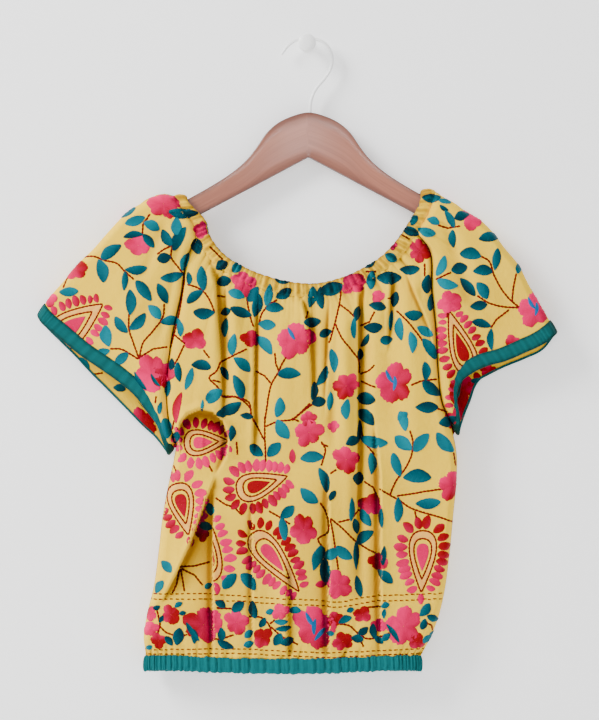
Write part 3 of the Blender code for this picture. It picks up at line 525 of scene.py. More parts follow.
# Soft folds of the sleeves' fronts, running down and out from the gathered neck
SLEEVE_FOLDS_LEFT = (
    # x at top, z at top, x at foot, z at foot, rise, reach left, reach right
    (-128, -200, -158, -330, -3, 7, 9), (-136, -190, -196, -300, 2.4, 12, 10),
    (-150, -184, -176, -262, -2.2, 8, 9),
)
SLEEVE_FOLDS_RIGHT = (
    # x at top, z at top, x at foot, z at foot, rise, reach left, reach right
    (141, -180, 176, -300, -2.6, 8, 9), (150, -180, 206, -300, 2.4, 11, 11),
    (139, -216, 152, -330, 2, 8, 8),
)

# The cuff binding's width, and the most that it takes of a short sleeve beside the underarm
BINDING_WIDTH = 14.5
BINDING_SHARE = 0.6

# %% [markdown]
# ## Curves and patches
#
# A dressmaker joins edges, so the cloth is drawn from its edges: a smooth curve runs through each
# table's points, and a patch is stretched between four such curves.

# %% Curves and patches
def smooth(t):
    """0 below 0, 1 above 1, and an even rise between."""
    t = np.clip(t, 0.0, 1.0)
    return t * t * (3.0 - 2.0 * t)


def unit(vectors):
    """The same directions, each of length 1."""
    return vectors / np.maximum(np.linalg.norm(vectors, axis=-1, keepdims=True), 1e-12)


def curve_at(at, points):
    """A smooth curve that passes each point when it is called with the number in at."""
    slope = np.gradient(points, at, axis=0)

    def curve(t):
        t = np.asarray(t, float)
        i = np.clip(np.searchsorted(at, t, side="right") - 1, 0, len(at) - 2)
        span = (at[i + 1] - at[i])[..., None]
        s = (t - at[i])[..., None] / span
        return (
            (1 + 2 * s) * (1 - s) ** 2 * points[i]
            + s * (1 - s) ** 2 * span * slope[i]
            + s * s * (3 - 2 * s) * points[i + 1]
            + s * s * (s - 1) * span * slope[i + 1]
        )

    return curve


def through(rows):
    """A smooth curve through the rows' points. It is called with 0 to 1 along its length."""
    points = np.array(rows, float)
    steps = np.linalg.norm(np.diff(points, axis=0), axis=1)
    return curve_at(np.concatenate([[0.0], np.cumsum(steps)]) / steps.sum(), points)


def through_shares(rows):
    """A curve flat in depth through rows of (share, x, z). It is called with such shares."""
    rows = np.array([(share, x, 0.0, z) for share, x, z in rows])
    return curve_at(rows[:, 0], rows[:, 1:])


def flattened(curve):
    """The same curve without its depth."""
    return lambda t: curve(t) * (1, 0, 1)


def rounded(distance, radius):
    """0 at an edge and 1 from one radius inside it, like the side of a round fold."""
    return np.sqrt(np.clip(1 - np.clip(1 - distance / radius, 0, 1) ** 2, 0, 1))


def coons(left, right, top, bottom, u, v):
    """The points at u across and v down a patch between four curves that meet at its corners."""
    u3, v3 = u[..., None], v[..., None]
    sides = (1 - u3) * left(v) + u3 * right(v)
    ends = (1 - v3) * top(u) + v3 * bottom(u)
    first, last = np.zeros_like(u), np.ones_like(u)
    corners = (1 - u3) * ((1 - v3) * left(first) + v3 * left(last))
    corners += u3 * ((1 - v3) * right(first) + v3 * right(last))
    return sides + ends - corners


# %% The neck loop
FRONT_NECK = [(x, NECK_Y - away, z) for x, away, z in NECK_ROWS]
BACK_NECK = [(x, NECK_Y + away, z) for x, away, z in NECK_ROWS[-2:0:-1]]
NECK_LOOP = through(FRONT_NECK + BACK_NECK + FRONT_NECK[:1])


def neck_edge(s):
    """The neck's elastic edge. s is 0 at the left arm, 0.25 at the front, 0.5 at the right arm."""
    return NECK_LOOP(np.asarray(s, float) % 1.0)


def neck_down(s):
    """The way from the neck's edge into the cloth: down at the front and back, out over the arms."""
    edge = neck_edge(s)
    across = (edge[..., 0] - NECK_X) * NECK_FAN
    return unit(np.stack([across, np.zeros_like(across), edge[..., 2] - NECK_FAN_Z], -1))


def neck_out(s):
    """The way out of the cloth at the neck's edge."""
    step = 2e-3
    along = neck_edge(s + step) - neck_edge(s - step)
    return unit(np.cross(neck_down(s), along))


def neck_seam(s):
    """Where the panels and sleeves start, just below the neck casing."""
    return neck_edge(s) + neck_down(s) * NECK_CASING_WIDTH


# %% The seams as curves
def raglan(start_share, rows, underarm, way):
    """A raglan seam from the neck to the underarm. way is 1 at the front and -1 at the back."""
    middle = [(x, MID_Y - way * forward, z) for x, forward, z in rows]
    return through([tuple(neck_seam(start_share)), *middle, underarm])


def side_seam(underarm, rows, foot_x):
    """A side seam from the underarm to the hem."""
    return through([underarm, *[(x, MID_Y, z) for x, z in rows], (foot_x, MID_Y, HEM_Z)])


def joined(upper, lower):
    """One curve that runs down the raglan seam for its first half and the side seam for the rest."""

    def curve(v):
        v = np.asarray(v, float)
        on_upper, on_lower = upper(np.clip(2 * v, 0, 1)), lower(np.clip(2 * v - 1, 0, 1))
        return np.where(v[..., None] < 0.5, on_upper, on_lower)

    return curve


SIDE_LEFT = side_seam(UNDERARM_LEFT, SIDE_LEFT_ROWS, HEM_LEFT_X)
SIDE_RIGHT = side_seam(UNDERARM_RIGHT, SIDE_RIGHT_ROWS, HEM_RIGHT_X)
RAGLAN = {
    ("left", 1): raglan(SEAM_FRONT_LEFT, RAGLAN_LEFT_ROWS, UNDERARM_LEFT, 1),
    ("left", -1): raglan(SEAM_BACK_LEFT, RAGLAN_LEFT_ROWS, UNDERARM_LEFT, -1),
    ("right", 1): raglan(SEAM_FRONT_RIGHT, RAGLAN_RIGHT_ROWS, UNDERARM_RIGHT, 1),
    ("right", -1): raglan(SEAM_BACK_RIGHT, RAGLAN_RIGHT_ROWS, UNDERARM_RIGHT, -1),
}


def hem_edge(s):
    """The hem's ring. s is 0 at the left side, 0.25 at the front, 0.5 at the right side."""
    angle = 2 * math.pi * np.asarray(s, float)
    across, forward = np.cos(angle), np.sin(angle)
    middle, half = (HEM_LEFT_X + HEM_RIGHT_X) / 2, (HEM_RIGHT_X - HEM_LEFT_X) / 2
    x = middle - half * across
    y = MID_Y - HEM_HALF_DEPTH * np.sign(forward) * np.abs(forward) ** HEM_SQUARENESS
    z = HEM_Z + HEM_WAVE * np.sin(3 * angle)
    return np.stack([x, y, z], -1)


def hem_out(s):
    """The way out of the cloth at the hem, level with the floor."""
    step = 1e-3
    along = (hem_edge(s + step) - hem_edge(s - step)) * (1, 1, 0)
    return unit(np.cross(np.broadcast_to((0.0, 0.0, -1.0), along.shape), along))


# %% Folds
def fold_rise(rows, x, z):
    """How far the folds in rows carry the cloth forward at (x, z)."""
    rise = np.zeros_like(x)
    for top_x, top_z, foot_x, foot_z, height, left, right in rows:
        along = (top_z - z) / (top_z - foot_z)
        aside = x - (top_x + (foot_x - top_x) * np.clip(along, 0, 1))
        reach = np.where(aside < 0, left, right)
        rise += height * np.exp(-((aside / reach) ** 2)) * smooth(along / 0.22) * smooth((1 - along) / 0.3)
    return rise


def overlap_rise(rows, x, z):
    """How far the overlaps in rows carry the cloth forward, or back on their low side."""
    total = np.zeros_like(x)
    for _, reach, path in rows:
        nearest = np.full(x.shape, np.inf)
        step = np.zeros_like(x)
        for (ax, az, a_rise), (bx, bz, b_rise) in zip(path, path[1:]):
            length2 = (bx - ax) ** 2 + (bz - az) ** 2
            t = np.clip(((x - ax) * (bx - ax) + (z - az) * (bz - az)) / length2, 0, 1)
            off_x, off_z = x - ax - t * (bx - ax), z - az - t * (bz - az)
            distance = np.hypot(off_x, off_z)
            side = np.sign((bz - az) * off_x - (bx - ax) * off_z)
            rise = (a_rise + t * (b_rise - a_rise)) * -side * np.tanh(distance / OVERLAP_EDGE)
            rise = rise * np.exp(-distance / reach)
            closer = distance < nearest
            step = np.where(closer, rise, step)
            nearest = np.minimum(nearest, distance)
        total += step
    return total


# %% Panels
def panel_ends(way):
    """The shares of the neck and hem where a panel's left and right edges are."""
    if way == 1:
        return SEAM_FRONT_LEFT, SEAM_FRONT_RIGHT, 0.0, 0.5
    return SEAM_BACK_LEFT, SEAM_BACK_RIGHT, 1.0, 0.5


def panel(way, u, v):
    """The outer face of the front panel, for way 1, or the back panel, for way -1."""
    left, right = joined(RAGLAN["left", way], SIDE_LEFT), joined(RAGLAN["right", way], SIDE_RIGHT)
    neck_from, neck_to, hem_from, hem_to = panel_ends(way)
    depth = FRONT_DEPTH if way == 1 else BACK_DEPTH
    folds = FRONT_FOLDS if way == 1 else BACK_FOLDS

    def top(t):
        return neck_seam(neck_from + t * (neck_to - neck_from))

    def bottom(t):
        return hem_edge(hem_from + t * (hem_to - hem_from))

    flat_left, flat_right = flattened(left), flattened(right)
    points = coons(flat_left, flat_right, flattened(top), flattened(bottom), u, v)
    x, z = points[..., 0], points[..., 2]
    edge_y = (1 - u) * left(v)[..., 1] + u * right(v)[..., 1]
    end_y = np.where(v < 0.5, top(u)[..., 1], bottom(u)[..., 1])
    from_end = smooth(np.minimum(v / 0.12, (1 - v) / 0.06))
    full_y = end_y + (MID_Y - way * depth - end_y) * from_end
    from_side = np.minimum(x - flat_left(v)[..., 0], flat_right(v)[..., 0] - x)
    rise = fold_rise(folds, x, z) * from_end
    if way == 1:
        rise += overlap_rise(FRONT_OVERLAPS, x, z) * from_end
    round_off = rounded(from_side, EDGE_ROUND)
    rise = rise * smooth(from_side / FOLDS_INSET)
    points[..., 1] = edge_y + (full_y - edge_y) * round_off - way * rise
    at_end = (v <= 0.0) | (v >= 1.0)
    points[..., 1] = np.where(at_end, end_y, points[..., 1])
    return points


# %% Sleeves
SEAM_SHARE = {
    ("left", 1): (SEAM_FRONT_LEFT, 0.0),
    ("left", -1): (SEAM_BACK_LEFT, 1.0),
    ("right", 1): (SEAM_FRONT_RIGHT, 0.5),
    ("right", -1): (SEAM_BACK_RIGHT, 0.5),
}
CUFF_ROWS = {
    ("left", 1): CUFF_FRONT_LEFT_ROWS,
    ("left", -1): CUFF_BACK_LEFT_ROWS,
    ("right", 1): CUFF_FRONT_RIGHT_ROWS,
    ("right", -1): CUFF_BACK_RIGHT_ROWS,
}


def neck_share(side, way, p):
    """The share of the neck loop beside the point p of a sleeve's edge on the body."""
    start, stop = SEAM_SHARE[side, way]
    return start + (stop - start) * np.clip((p - SEAM_PART) / (1 - SEAM_PART), 0, 1)


def body_edge(side, way, p):
    """The sleeve's edge on the body: up the raglan seam to p = SEAM_PART, then along the neck."""
    on_seam = RAGLAN[side, way](np.clip(1 - p / SEAM_PART, 0, 1))
    on_neck = neck_seam(neck_share(side, way, p))
    return np.where(p[..., None] < SEAM_PART, on_seam, on_neck)


def sleeve(side, way, a, t):
    """The outer face of a sleeve's front or back half, from the body at t 0 to the cuff at t 1.

    a is 0 at the underarm and 1 at the sleeve's outer fold.
    """
    cuff_curve = through_shares(CUFF_ROWS[side, way])
    fold_rows = TOP_FOLD_LEFT_ROWS if side == "left" else TOP_FOLD_RIGHT_ROWS
    folds = SLEEVE_FOLDS_LEFT if side == "left" else SLEEVE_FOLDS_RIGHT
    underarm = tuple(body_edge(side, way, np.array(0.0)) * (1, 0, 1))
    crossing = tuple(body_edge(side, way, np.array(1.0)) * (1, 0, 1))
    cuff_low = tuple(cuff_curve(np.array(0.0)))
    fold_curve = through([crossing, *[(x, 0.0, z) for x, z in fold_rows]])
    underarm_curve = through([underarm, cuff_low])

    def body_flat(p):
        return body_edge(side, way, p) * (1, 0, 1)

    points = coons(underarm_curve, fold_curve, body_flat, cuff_curve, a, t)
    from_body = np.linalg.norm(points - body_flat(a), axis=-1)
    from_fold = np.linalg.norm(points - fold_curve(t), axis=-1)
    from_underarm = np.linalg.norm(points - underarm_curve(t), axis=-1)
    inside = rounded(from_fold, EDGE_ROUND) * rounded(from_underarm, UNDERARM_ROUND)
    depth = SLEEVE_DEPTH + (CUFF_DEPTH - SLEEVE_DEPTH) * smooth((t - 0.35) / 0.65)
    leave = rounded(from_body, EDGE_ROUND)
    rise = fold_rise(folds, points[..., 0], points[..., 2]) * smooth(from_body / FOLDS_INSET) * inside
    body_y = body_edge(side, way, a)[..., 1]
    points[..., 1] = body_y + (MID_Y - way * depth * inside - body_y) * leave - way * rise
    return points


# %% [markdown]
# ## From grids of points to cloth
#
# A sheet of cloth is a grid of points with a face between each four of them. The Solidify modifier
# then gives it the thickness of real cotton. Its UV map holds the place of each point on the flat
# cloth in metres, so the weave runs along the threads and bends with the folds.

# %% Cloth objects
CLOTH_THICK = 1.0


def lengths_down(points):
    """How far each point of a grid is from the first row, along its column."""
    steps = np.linalg.norm(np.diff(points, axis=0), axis=-1).cumsum(axis=0)
    return np.concatenate([np.zeros((1, points.shape[1])), steps])


def normals_of(points):
    """Unit normals of a grid of points, rows by columns."""
    return unit(np.cross(np.gradient(points, axis=1), np.gradient(points, axis=0)))


def flat_places(points, ring):
    """Where each point of a grid lies when the cloth is flat, in metres across and down."""
    closed = np.concatenate([points, points[:, :1]], axis=1) if ring else points
    steps_across = np.linalg.norm(np.diff(closed, axis=1), axis=-1).mean(axis=0)
    steps_down = np.linalg.norm(np.diff(points, axis=0), axis=-1).mean(axis=1)
    across = np.concatenate([[0.0], np.cumsum(steps_across)])
    down = np.concatenate([[0.0], np.cumsum(steps_down)])
    return np.stack(np.meshgrid(across, down), -1) * MM


def hollows(points, ring, turned, rounds=14, deepest=1.2):
    """How deep in a crease each point of a grid lies, 0 to 1: its distance under the smoothed cloth."""
    outward = normals_of(points) * (-1 if turned else 1)
    even = points
    for _ in range(rounds):
        wide = np.pad(even, ((0, 0), (1, 1), (0, 0)), mode="wrap" if ring else "edge")
        tall = np.pad(even, ((1, 1), (0, 0), (0, 0)), mode="edge")
        even = 0.4 * even + 0.2 * (wide[:, :-2] + wide[:, 2:]) + 0.1 * (tall[:-2] + tall[2:])
    return np.clip(((even - points) * outward).sum(axis=-1) / deepest, 0.0, 1.0)


def new_piece(name, points, faces):
    """A smooth-shaded object in the scene, from points in millimetres and the faces between them."""
    mesh = bpy.data.meshes.new(name)
    mesh.from_pydata((np.reshape(points, (-1, 3)) * MM).tolist(), [], faces)
    mesh.shade_smooth()
    piece = bpy.data.objects.new(name, mesh)
    bpy.context.scene.collection.objects.link(piece)
    return piece


def store(mesh, name, values):
    """Keep a number for each point of a mesh, for its finish to read."""
    mesh.attributes.new(name, "FLOAT", "POINT").data.foreach_set("value", np.reshape(values, -1))


def cloth_sheet(name, points, ring=False, turned=False, thick=CLOTH_THICK, shade=0.0):
    """A sheet of cloth through a grid of points in millimetres.

    ring joins its last column to its first, and shade is the shade painted on seams and tucks, on top of
    the shade painted by the depth of the creases.
    """
    rows, columns = points.shape[:2]
    r, c = np.meshgrid(np.arange(rows - 1), np.arange(columns if ring else columns - 1), indexing="ij")
    row, next_row, next_c = r * columns, (r + 1) * columns, (c + 1) % columns
    corners = np.stack([row + c, row + next_c, next_row + next_c, next_row + c], -1)
    flat = flat_places(points, ring)
    uv = np.stack([flat[r, c], flat[r, c + 1], flat[r + 1, c + 1], flat[r + 1, c]], -2)
    if turned:
        corners, uv = corners[..., ::-1], uv[..., ::-1, :]
    sheet = new_piece(name, points, corners.reshape(-1, 4).tolist())
    sheet.data.uv_layers.new(name="cloth").data.foreach_set("uv", uv.reshape(-1))
    # Painted shade: how deep each point lies in a crease, with the shade of seams and tucks, for the finish
    # to darken the colour by
    store(sheet.data, "painted_shade", np.clip(hollows(points, ring, turned) + shade, 0.0, 1.0))
    only(sheet)
    modified(sheet, "SOLIDIFY", "cotton thickness", thickness=thick * MM, offset=-1.0)
    area = sum(face.area for face in sheet.data.polygons) / 2
    print(name, "faces:", len(sheet.data.polygons), "square metres:", round(area, 4))
    return sheet


def dressed(piece, slot, *nodes):
    """Attach a piece to what it moves with, and hide the plain solids that it stands for. slot, the name of
    its finish, is not used.
    """
    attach(piece, "root")
    if nodes:
        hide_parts(*nodes)
    return piece


# %% [markdown]
# ## Gathers
#
# Elastic pulls the cloth into many small ribs at the neck and the hem. Just below the casing the
# ribs join up into fewer and wider pleats, and these into the folds of the panels. Each row of the
# table is one size of pleat, with the distance over which it fades out.

# %% Gathers below the neck and above the hem
NECK_GATHERS, HEM_GATHERS = 90, 100
NECK_PLEATS = (
    # how many round the neck, rise, fades out over
    (NECK_GATHERS, 2.4, 14), (46, 2.9, 34), (23, 3.2, 80),
)
HEM_PLEATS = (
    # how many round the hem, rise, fades out over
    (HEM_GATHERS, 1.6, 6), (44, 2.2, 18), (19, 2.4, 48),
)


def rib(s, count):
    """A rounded, uneven rib for each gather, 0 in the creases and up to 1 on the ribs."""
    turn = 2 * math.pi * s
    wander = 0.35 * np.sin(5 * turn + count) + 0.3 * np.sin(11 * turn + 2.0)
    wander = wander + 0.25 * np.sin(17 * turn + 0.5 * count)
    size = 0.78 + 0.22 * np.sin(7 * turn + 1.0 + count) * np.cos(13 * turn)
    return np.abs(np.sin(0.5 * (count * turn + wander * 2.0))) ** 0.8 * size


def pleats(rows, s, distance):
    """How far the pleats stand out at a distance from the casing."""
    return sum(rise * (rib(s, count) - 0.5) * np.exp(-distance / fade) for count, rise, fade in rows)


# %% [markdown]
# ## The front and the back
#
# Each panel is cut much wider than the neck and the hem, and it keeps its full width in between.
# Where two pleats meet, the cloth of one lies over the other along a sharp line. The table holds
# these lines on the front, with the same sign for the side that stands forward as the large ones.
# The other side is tucked in under it. Along the raglan and side seams the cloth is pulled in.

# %% Make the two panels
FRONT_CREASES = (
    # name, reach, ((x, z, rise), ...)
    ("below_left_flower", 9, (
        (-107, -224, 0), (-102, -236, -3.2), (-97.5, -252, -2.6), (-95.5, -262, 0),
    )),
    ("left_long", 12, (
        (-97, -236, 0), (-95.4, -272, -4.9), (-91.2, -328, -4.3), (-90, -380, -1.7), (-89.5, -410, 0),
    )),
    ("left_inner", 8, ((-86, -250, 0), (-84, -285, 2.9), (-82, -330, 0))),
    ("left_of_middle", 12, (
        (-53.4, -262, 0), (-55.4, -312, -4.6), (-56.5, -400, -3.8), (-57.5, -440, 0),
    )),
    ("under_flower", 9, (
        (-8, -256, 0), (-4.8, -275, -3.5), (1, -300, -4.1), (4.2, -345, -2.6), (5, -390, 0),
    )),
    ("middle", 10, ((24, -270, 0), (23.3, -300, 3.2), (22.3, -330, 3.8), (20, -368, 2), (19, -400, 0))),
    ("right_long", 12, (
        (54.5, -256, 0), (54, -290, -5.2), (54, -400, -4.6), (53, -470, -2.3), (53, -540, 0),
    )),
    ("right_short", 8, ((62, -244, 0), (61, -262, 2.9), (58, -318, 0))),
    ("right_neck", 9, ((88.5, -232, 0), (88, -262, -3.8), (86, -300, -2.3), (84, -330, 0))),
    ("right_slant", 10, ((103, -238, 0), (112, -262, 2.9), (128, -300, 2), (134, -330, 0))),
    ("low_left", 9, ((-58, -470, 0), (-58.5, -520, 2.6), (-58, -600, 2.6), (-57, -650, 0))),
    ("low_middle_left", 10, ((-22, -540, 0), (-21, -590, -2.9), (-21, -645, -2.3))),
)

# Seams sink into the cloth, and shade is painted on them and on the tucks, to make them darker than the
# cloth round them
SEAM_SUNK = 2.4
SEAM_REACH = 3.0
SEAM_PAINTED_SHADE, TUCK_PAINTED_SHADE, MOUTH_PAINTED_SHADE = 1.3, 0.16, 0.3

# In front of the right arm the seam lies open in a deep fold, where its painted shade is wider: right of
# this, and between these heights
OPEN_SEAM_X = 100.0
OPEN_SEAM_FOOT_Z, OPEN_SEAM_TOP_Z = -405.0, -205.0


def tucked(rows, share, reach):
    """The lines again for the other side of each, which is tucked in by a share of the rise."""
    other_side = []
    for name, _, line in rows:
        other_side.append((name, reach, [(x, z, -share * rise) for x, z, rise in line]))
    return other_side


def seam_shade(points, way, seam):
    """How much shade is painted on the cloth beside a seam: narrow, and wide where the seam lies open."""
    x, z = points[..., 0], points[..., 2]
    lies_open = (x > OPEN_SEAM_X) & (z > OPEN_SEAM_FOOT_Z) & (z < OPEN_SEAM_TOP_Z) & (way == 1)
    return SEAM_PAINTED_SHADE * seam ** np.where(lies_open, 0.9, 2.0)


def dressed_panel(name, way, columns, rows):
    """The cloth of the front or the back, with its pleats, creases and tucks."""
    u, v = np.meshgrid(np.linspace(0.0, 1.0, columns), np.linspace(0.0, 1.0, rows))
    points = panel(way, u, v)
    width = np.linalg.norm(np.diff(points, axis=1), axis=-1).sum(axis=1)[:, None]
    seam = np.exp(-np.minimum(u, 1 - u) * width / SEAM_REACH) * smooth(v / 0.03)
    points[..., 1] += way * SEAM_SUNK * seam
    # Painted shade beside the seams
    shade = seam_shade(points, way, seam)
    if way == 1:
        near_end = smooth(np.minimum(v / 0.04, (1 - v) / 0.03))
        x, z = points[..., 0].copy(), points[..., 2].copy()
        points[..., 1] -= overlap_rise(FRONT_CREASES, x, z) * near_end
        tuck = overlap_rise(tucked(FRONT_CREASES, 0.6, 6.5), x, z) * near_end
        mouth = overlap_rise(tucked(FRONT_OVERLAPS, 0.9, 8.0), x, z) * near_end
        points[..., 1] += tuck + mouth
        # Painted shade in the tucks and under the mouth of the side flap, where the cloth folds over itself
        shade = shade + TUCK_PAINTED_SHADE * np.maximum(tuck, 0.0) + MOUTH_PAINTED_SHADE * np.maximum(mouth, 0.0)
    neck_from, neck_to, hem_from, hem_to = panel_ends(way)
    neck_s = neck_from + u * (neck_to - neck_from)
    hem_s = hem_from + u * (hem_to - hem_from)
    down = lengths_down(points)
    up = down[-1] - down
    aside = smooth(np.minimum(u, 1 - u) / 0.02)[..., None]
    points = points + neck_out(neck_s) * (pleats(NECK_PLEATS, neck_s, down)[..., None] * aside)
    points = points + hem_out(hem_s) * (pleats(HEM_PLEATS, hem_s, up)[..., None] * aside)
    sheet = cloth_sheet(name + "_cloth", points, turned=way == 1, shade=shade)
    sheet.data.materials.append(COTTON)
    return dressed(sheet, "embroidered_cotton", name)


front = dressed_panel("front_panel", 1, 270, 182)
back = dressed_panel("back_panel", -1, 130, 110)

# %% [markdown]
# ## The sleeves
#
# A raglan sleeve is one piece of cloth that starts at the neck and is joined to the front and the
# back along a slanting seam. Here each is a tube of rings: a ring runs up the front from the
# underarm to the outer fold and down the back again.

# %% Make the two sleeves
def sleeve_rings(side, seam_columns, neck_columns, shares):
    """Rings of points round a sleeve, one for each share of the way from the body to the cuff.

    They come with the place of each column on the sleeve's edge on the body and on the neck loop.
    """
    on_seam = np.linspace(0.0, SEAM_PART, seam_columns, endpoint=False)
    on_neck = np.linspace(SEAM_PART, 1.0, neck_columns)
    a = np.concatenate([on_seam, on_neck])
    ring_a = np.concatenate([a, a[-2:0:-1]])
    in_front = np.arange(len(ring_a)) < len(a)

    def at(t):
        return np.where(in_front[:, None], sleeve(side, 1, ring_a, t), sleeve(side, -1, ring_a, t))

    neck_s = np.where(in_front, neck_share(side, 1, ring_a), neck_share(side, -1, ring_a))
    points = np.stack([at(np.full(len(ring_a), share)) for share in shares])
    return points, ring_a, neck_s


NECK_PLEATS_END = 60.0  # how far into a sleeve the pleats of the neck reach


def dressed_sleeve(side, rows):
    """The cloth of a sleeve, with the pleats of the neck and its seams pulled in."""
    points, ring_a, neck_s = sleeve_rings(side, 56, 46, np.linspace(0.0, 1.0, rows))
    along = lengths_down(points)
    on_neck = smooth((ring_a - SEAM_PART) / 0.02)
    fan_out = smooth(1.0 - along / NECK_PLEATS_END)
    rise = pleats(NECK_PLEATS, neck_s[None, :], along) * on_neck
    points = points + neck_out(neck_s)[None] * (rise * fan_out)[..., None]
    seam = np.exp(-along / SEAM_REACH) * (1 - on_neck)
    way = np.where(np.arange(len(ring_a)) < len(ring_a) // 2, 1, -1)
    points[..., 1] += way * SEAM_SUNK * seam
    # Painted shade beside the seams
    shade = seam_shade(points, way, seam)
    sheet = cloth_sheet("sleeve_" + side + "_cloth", points, ring=True, turned=side == "right", shade=shade)
    sheet.data.materials.append(COTTON)
    return dressed(sheet, "embroidered_cotton", "sleeve_" + side)


sleeves = {side: dressed_sleeve(side, 74) for side in ("left", "right")}

# %% [markdown]
# ## The neck casing
#
# The top of the cloth is turned in over a narrow elastic and stitched, which makes a puffed tube of
# tight ribs. A rib is high in the middle of the casing and pinched at its stitch line.

# %% Make the neck casing
CASING_PROFILE = (
    # share of the width down from the edge, out of the cloth, how much of the rib it has
    (1.06, -0.9, 0), (0.85, -0.4, 0.2), (0.45, -1.8, 0.3), (0.12, -1.5, 0.4), (0, -0.6, 0.5),
    (-0.05, 0.5, 0.5), (0, 1.2, 0.7), (0.12, 1.7, 0.9), (0.32, 1.9, 1), (0.55, 1.9, 1),
    (0.74, 1.5, 0.9), (0.86, 0.8, 0.75), (0.94, 0.4, 0.7), (1.06, -0.2, 0.5),
)
POINTS_PER_GATHER = 10


def gathered_band(name, s, edge, down, out, width, profile, count, rise, end_wave):
    """A casing of gathered cloth round an elastic, through the rows of its cross-section.

    Ribs of three sizes lie over each other. end_wave is how far they pull the two edges up and down.
    """
    rows = []
    for share, away, part in profile:
        ribs = 0.7 * rib(s + 0.0006 * math.sin(9 * share), count)
        ribs = ribs + 0.35 * rib(s - 0.001 * share, int(1.7 * count))
        ribs = ribs + 0.35 * rib(s + 0.002, int(0.43 * count)) - 0.55
        along = share * width + end_wave * ribs * (share - 0.5)
        rows.append(edge + down * along[:, None] + out * (away + rise * part * ribs)[:, None])
    return cloth_sheet(name, np.stack(rows), ring=True, thick=0.7)


neck_s = np.linspace(0.0, 1.0, NECK_GATHERS * POINTS_PER_GATHER, endpoint=False)
neck_band = gathered_band(
    "neck_casing_cloth", neck_s, neck_edge(neck_s), neck_down(neck_s), neck_out(neck_s),
    NECK_CASING_WIDTH, CASING_PROFILE, NECK_GATHERS, rise=3.0, end_wave=2.0,
)
neck_band.data.materials.append(COTTON)
dressed(neck_band, "embroidered_cotton", "neck_casing")

# %% [markdown]
# A row of teal overlock thread runs along the casing's upper edge. It is a thin cord that goes up and
# down with the ribs.

# %% Lay the cord along the neck's edge
CORD_RADIUS = 0.75
CORD_SIDES = 6
CORD_STEPS = 1500
CORD_SWAYS = 131
CORD_TINT = 0.45


def edge_cord(name, s, edge, down, out):
    """A cord along the neck's edge. It sways out and in, and thickens twice in each sway."""
    wave = rib(s, NECK_GATHERS) - 0.35
    sway = np.sin(2 * math.pi * CORD_SWAYS * s)
    middle = edge - down * (0.6 + 0.8 * wave)[:, None] + out * (0.2 + 0.5 * sway)[:, None]
    radius = CORD_RADIUS * (1 + 0.3 * np.sin(2 * math.pi * 2 * CORD_SWAYS * s))
    turn = np.linspace(0.0, 2 * math.pi, CORD_SIDES, endpoint=False)
    rings = [middle + (down * math.cos(t) + out * math.sin(t)) * radius[:, None] for t in turn]
    r, c = np.meshgrid(np.arange(len(s)), np.arange(CORD_SIDES), indexing="ij")
    row, next_row = r * CORD_SIDES, (r + 1) % len(s) * CORD_SIDES
    next_c = (c + 1) % CORD_SIDES
    faces = np.stack([row + c, row + next_c, next_row + next_c, next_row + c], -1)
    cord = new_piece(name, np.stack(rings, axis=1), faces.reshape(-1, 4).tolist())
    cord.data.uv_layers.new(name="stitch")
    store(cord.data, "tint", np.full(len(cord.data.vertices), CORD_TINT))
    cord.data.materials.append(LEAF_THREAD)
    print(name, "faces:", len(cord.data.polygons))
    return dressed(cord, "embroidered_cotton")


cord_s = np.linspace(0.0, 1.0, CORD_STEPS, endpoint=False)
edge_cord("neck_edge_cord", cord_s, neck_edge(cord_s), neck_down(cord_s), neck_out(cord_s))

# %% [markdown]
# ## The hem casing
#
# At the hem the same kind of casing is a folded strip of plain teal cotton, wider and puffier.

# %% Make the hem casing
HEM_PROFILE = (
    # share of the width down from the edge, out of the cloth, how much of the rib it has
    (-0.02, -1, 0.3), (0.3, -1.8, 0.4), (0.7, -2, 0.5), (0.95, -1.2, 0.6), (1.02, 0, 0.7),
    (0.97, 1.1, 0.9), (0.82, 1.8, 1), (0.6, 2.1, 1), (0.36, 1.9, 1), (0.16, 1.4, 0.9),
    (0.05, 0.9, 0.8), (-0.03, 0.1, 0.5),
)
hem_s = np.linspace(0.0, 1.0, HEM_GATHERS * POINTS_PER_GATHER, endpoint=False)
hem_down = np.tile((0.0, 0.0, -1.0), (len(hem_s), 1))
hem_band = gathered_band(
    "hem_casing_cloth", hem_s, hem_edge(hem_s), hem_down, hem_out(hem_s),
    HEM_HEIGHT, HEM_PROFILE, HEM_GATHERS, rise=3.2, end_wave=3.4,
)
hem_band.data.materials.append(TEAL)
dressed(hem_band, "teal_cotton", "hem_casing")

# %% [markdown]
# ## The cuff bindings
#
# A strip of the teal cotton is folded over each cuff's raw edge and stitched. It lies on the outside
# of the sleeve and turns in under the edge.

# %% Make the cuff bindings
BINDING_PROFILE = (
    # share of the band's width from the cuff's edge, out of the cloth
    (1, -0.2), (0.98, 0.9), (0.8, 1.3), (0.5, 1.5), (0.2, 1.4), (0.04, 1.1), (-0.03, 0.2), (-0.02, -1),
    (0.12, -1.7),
)


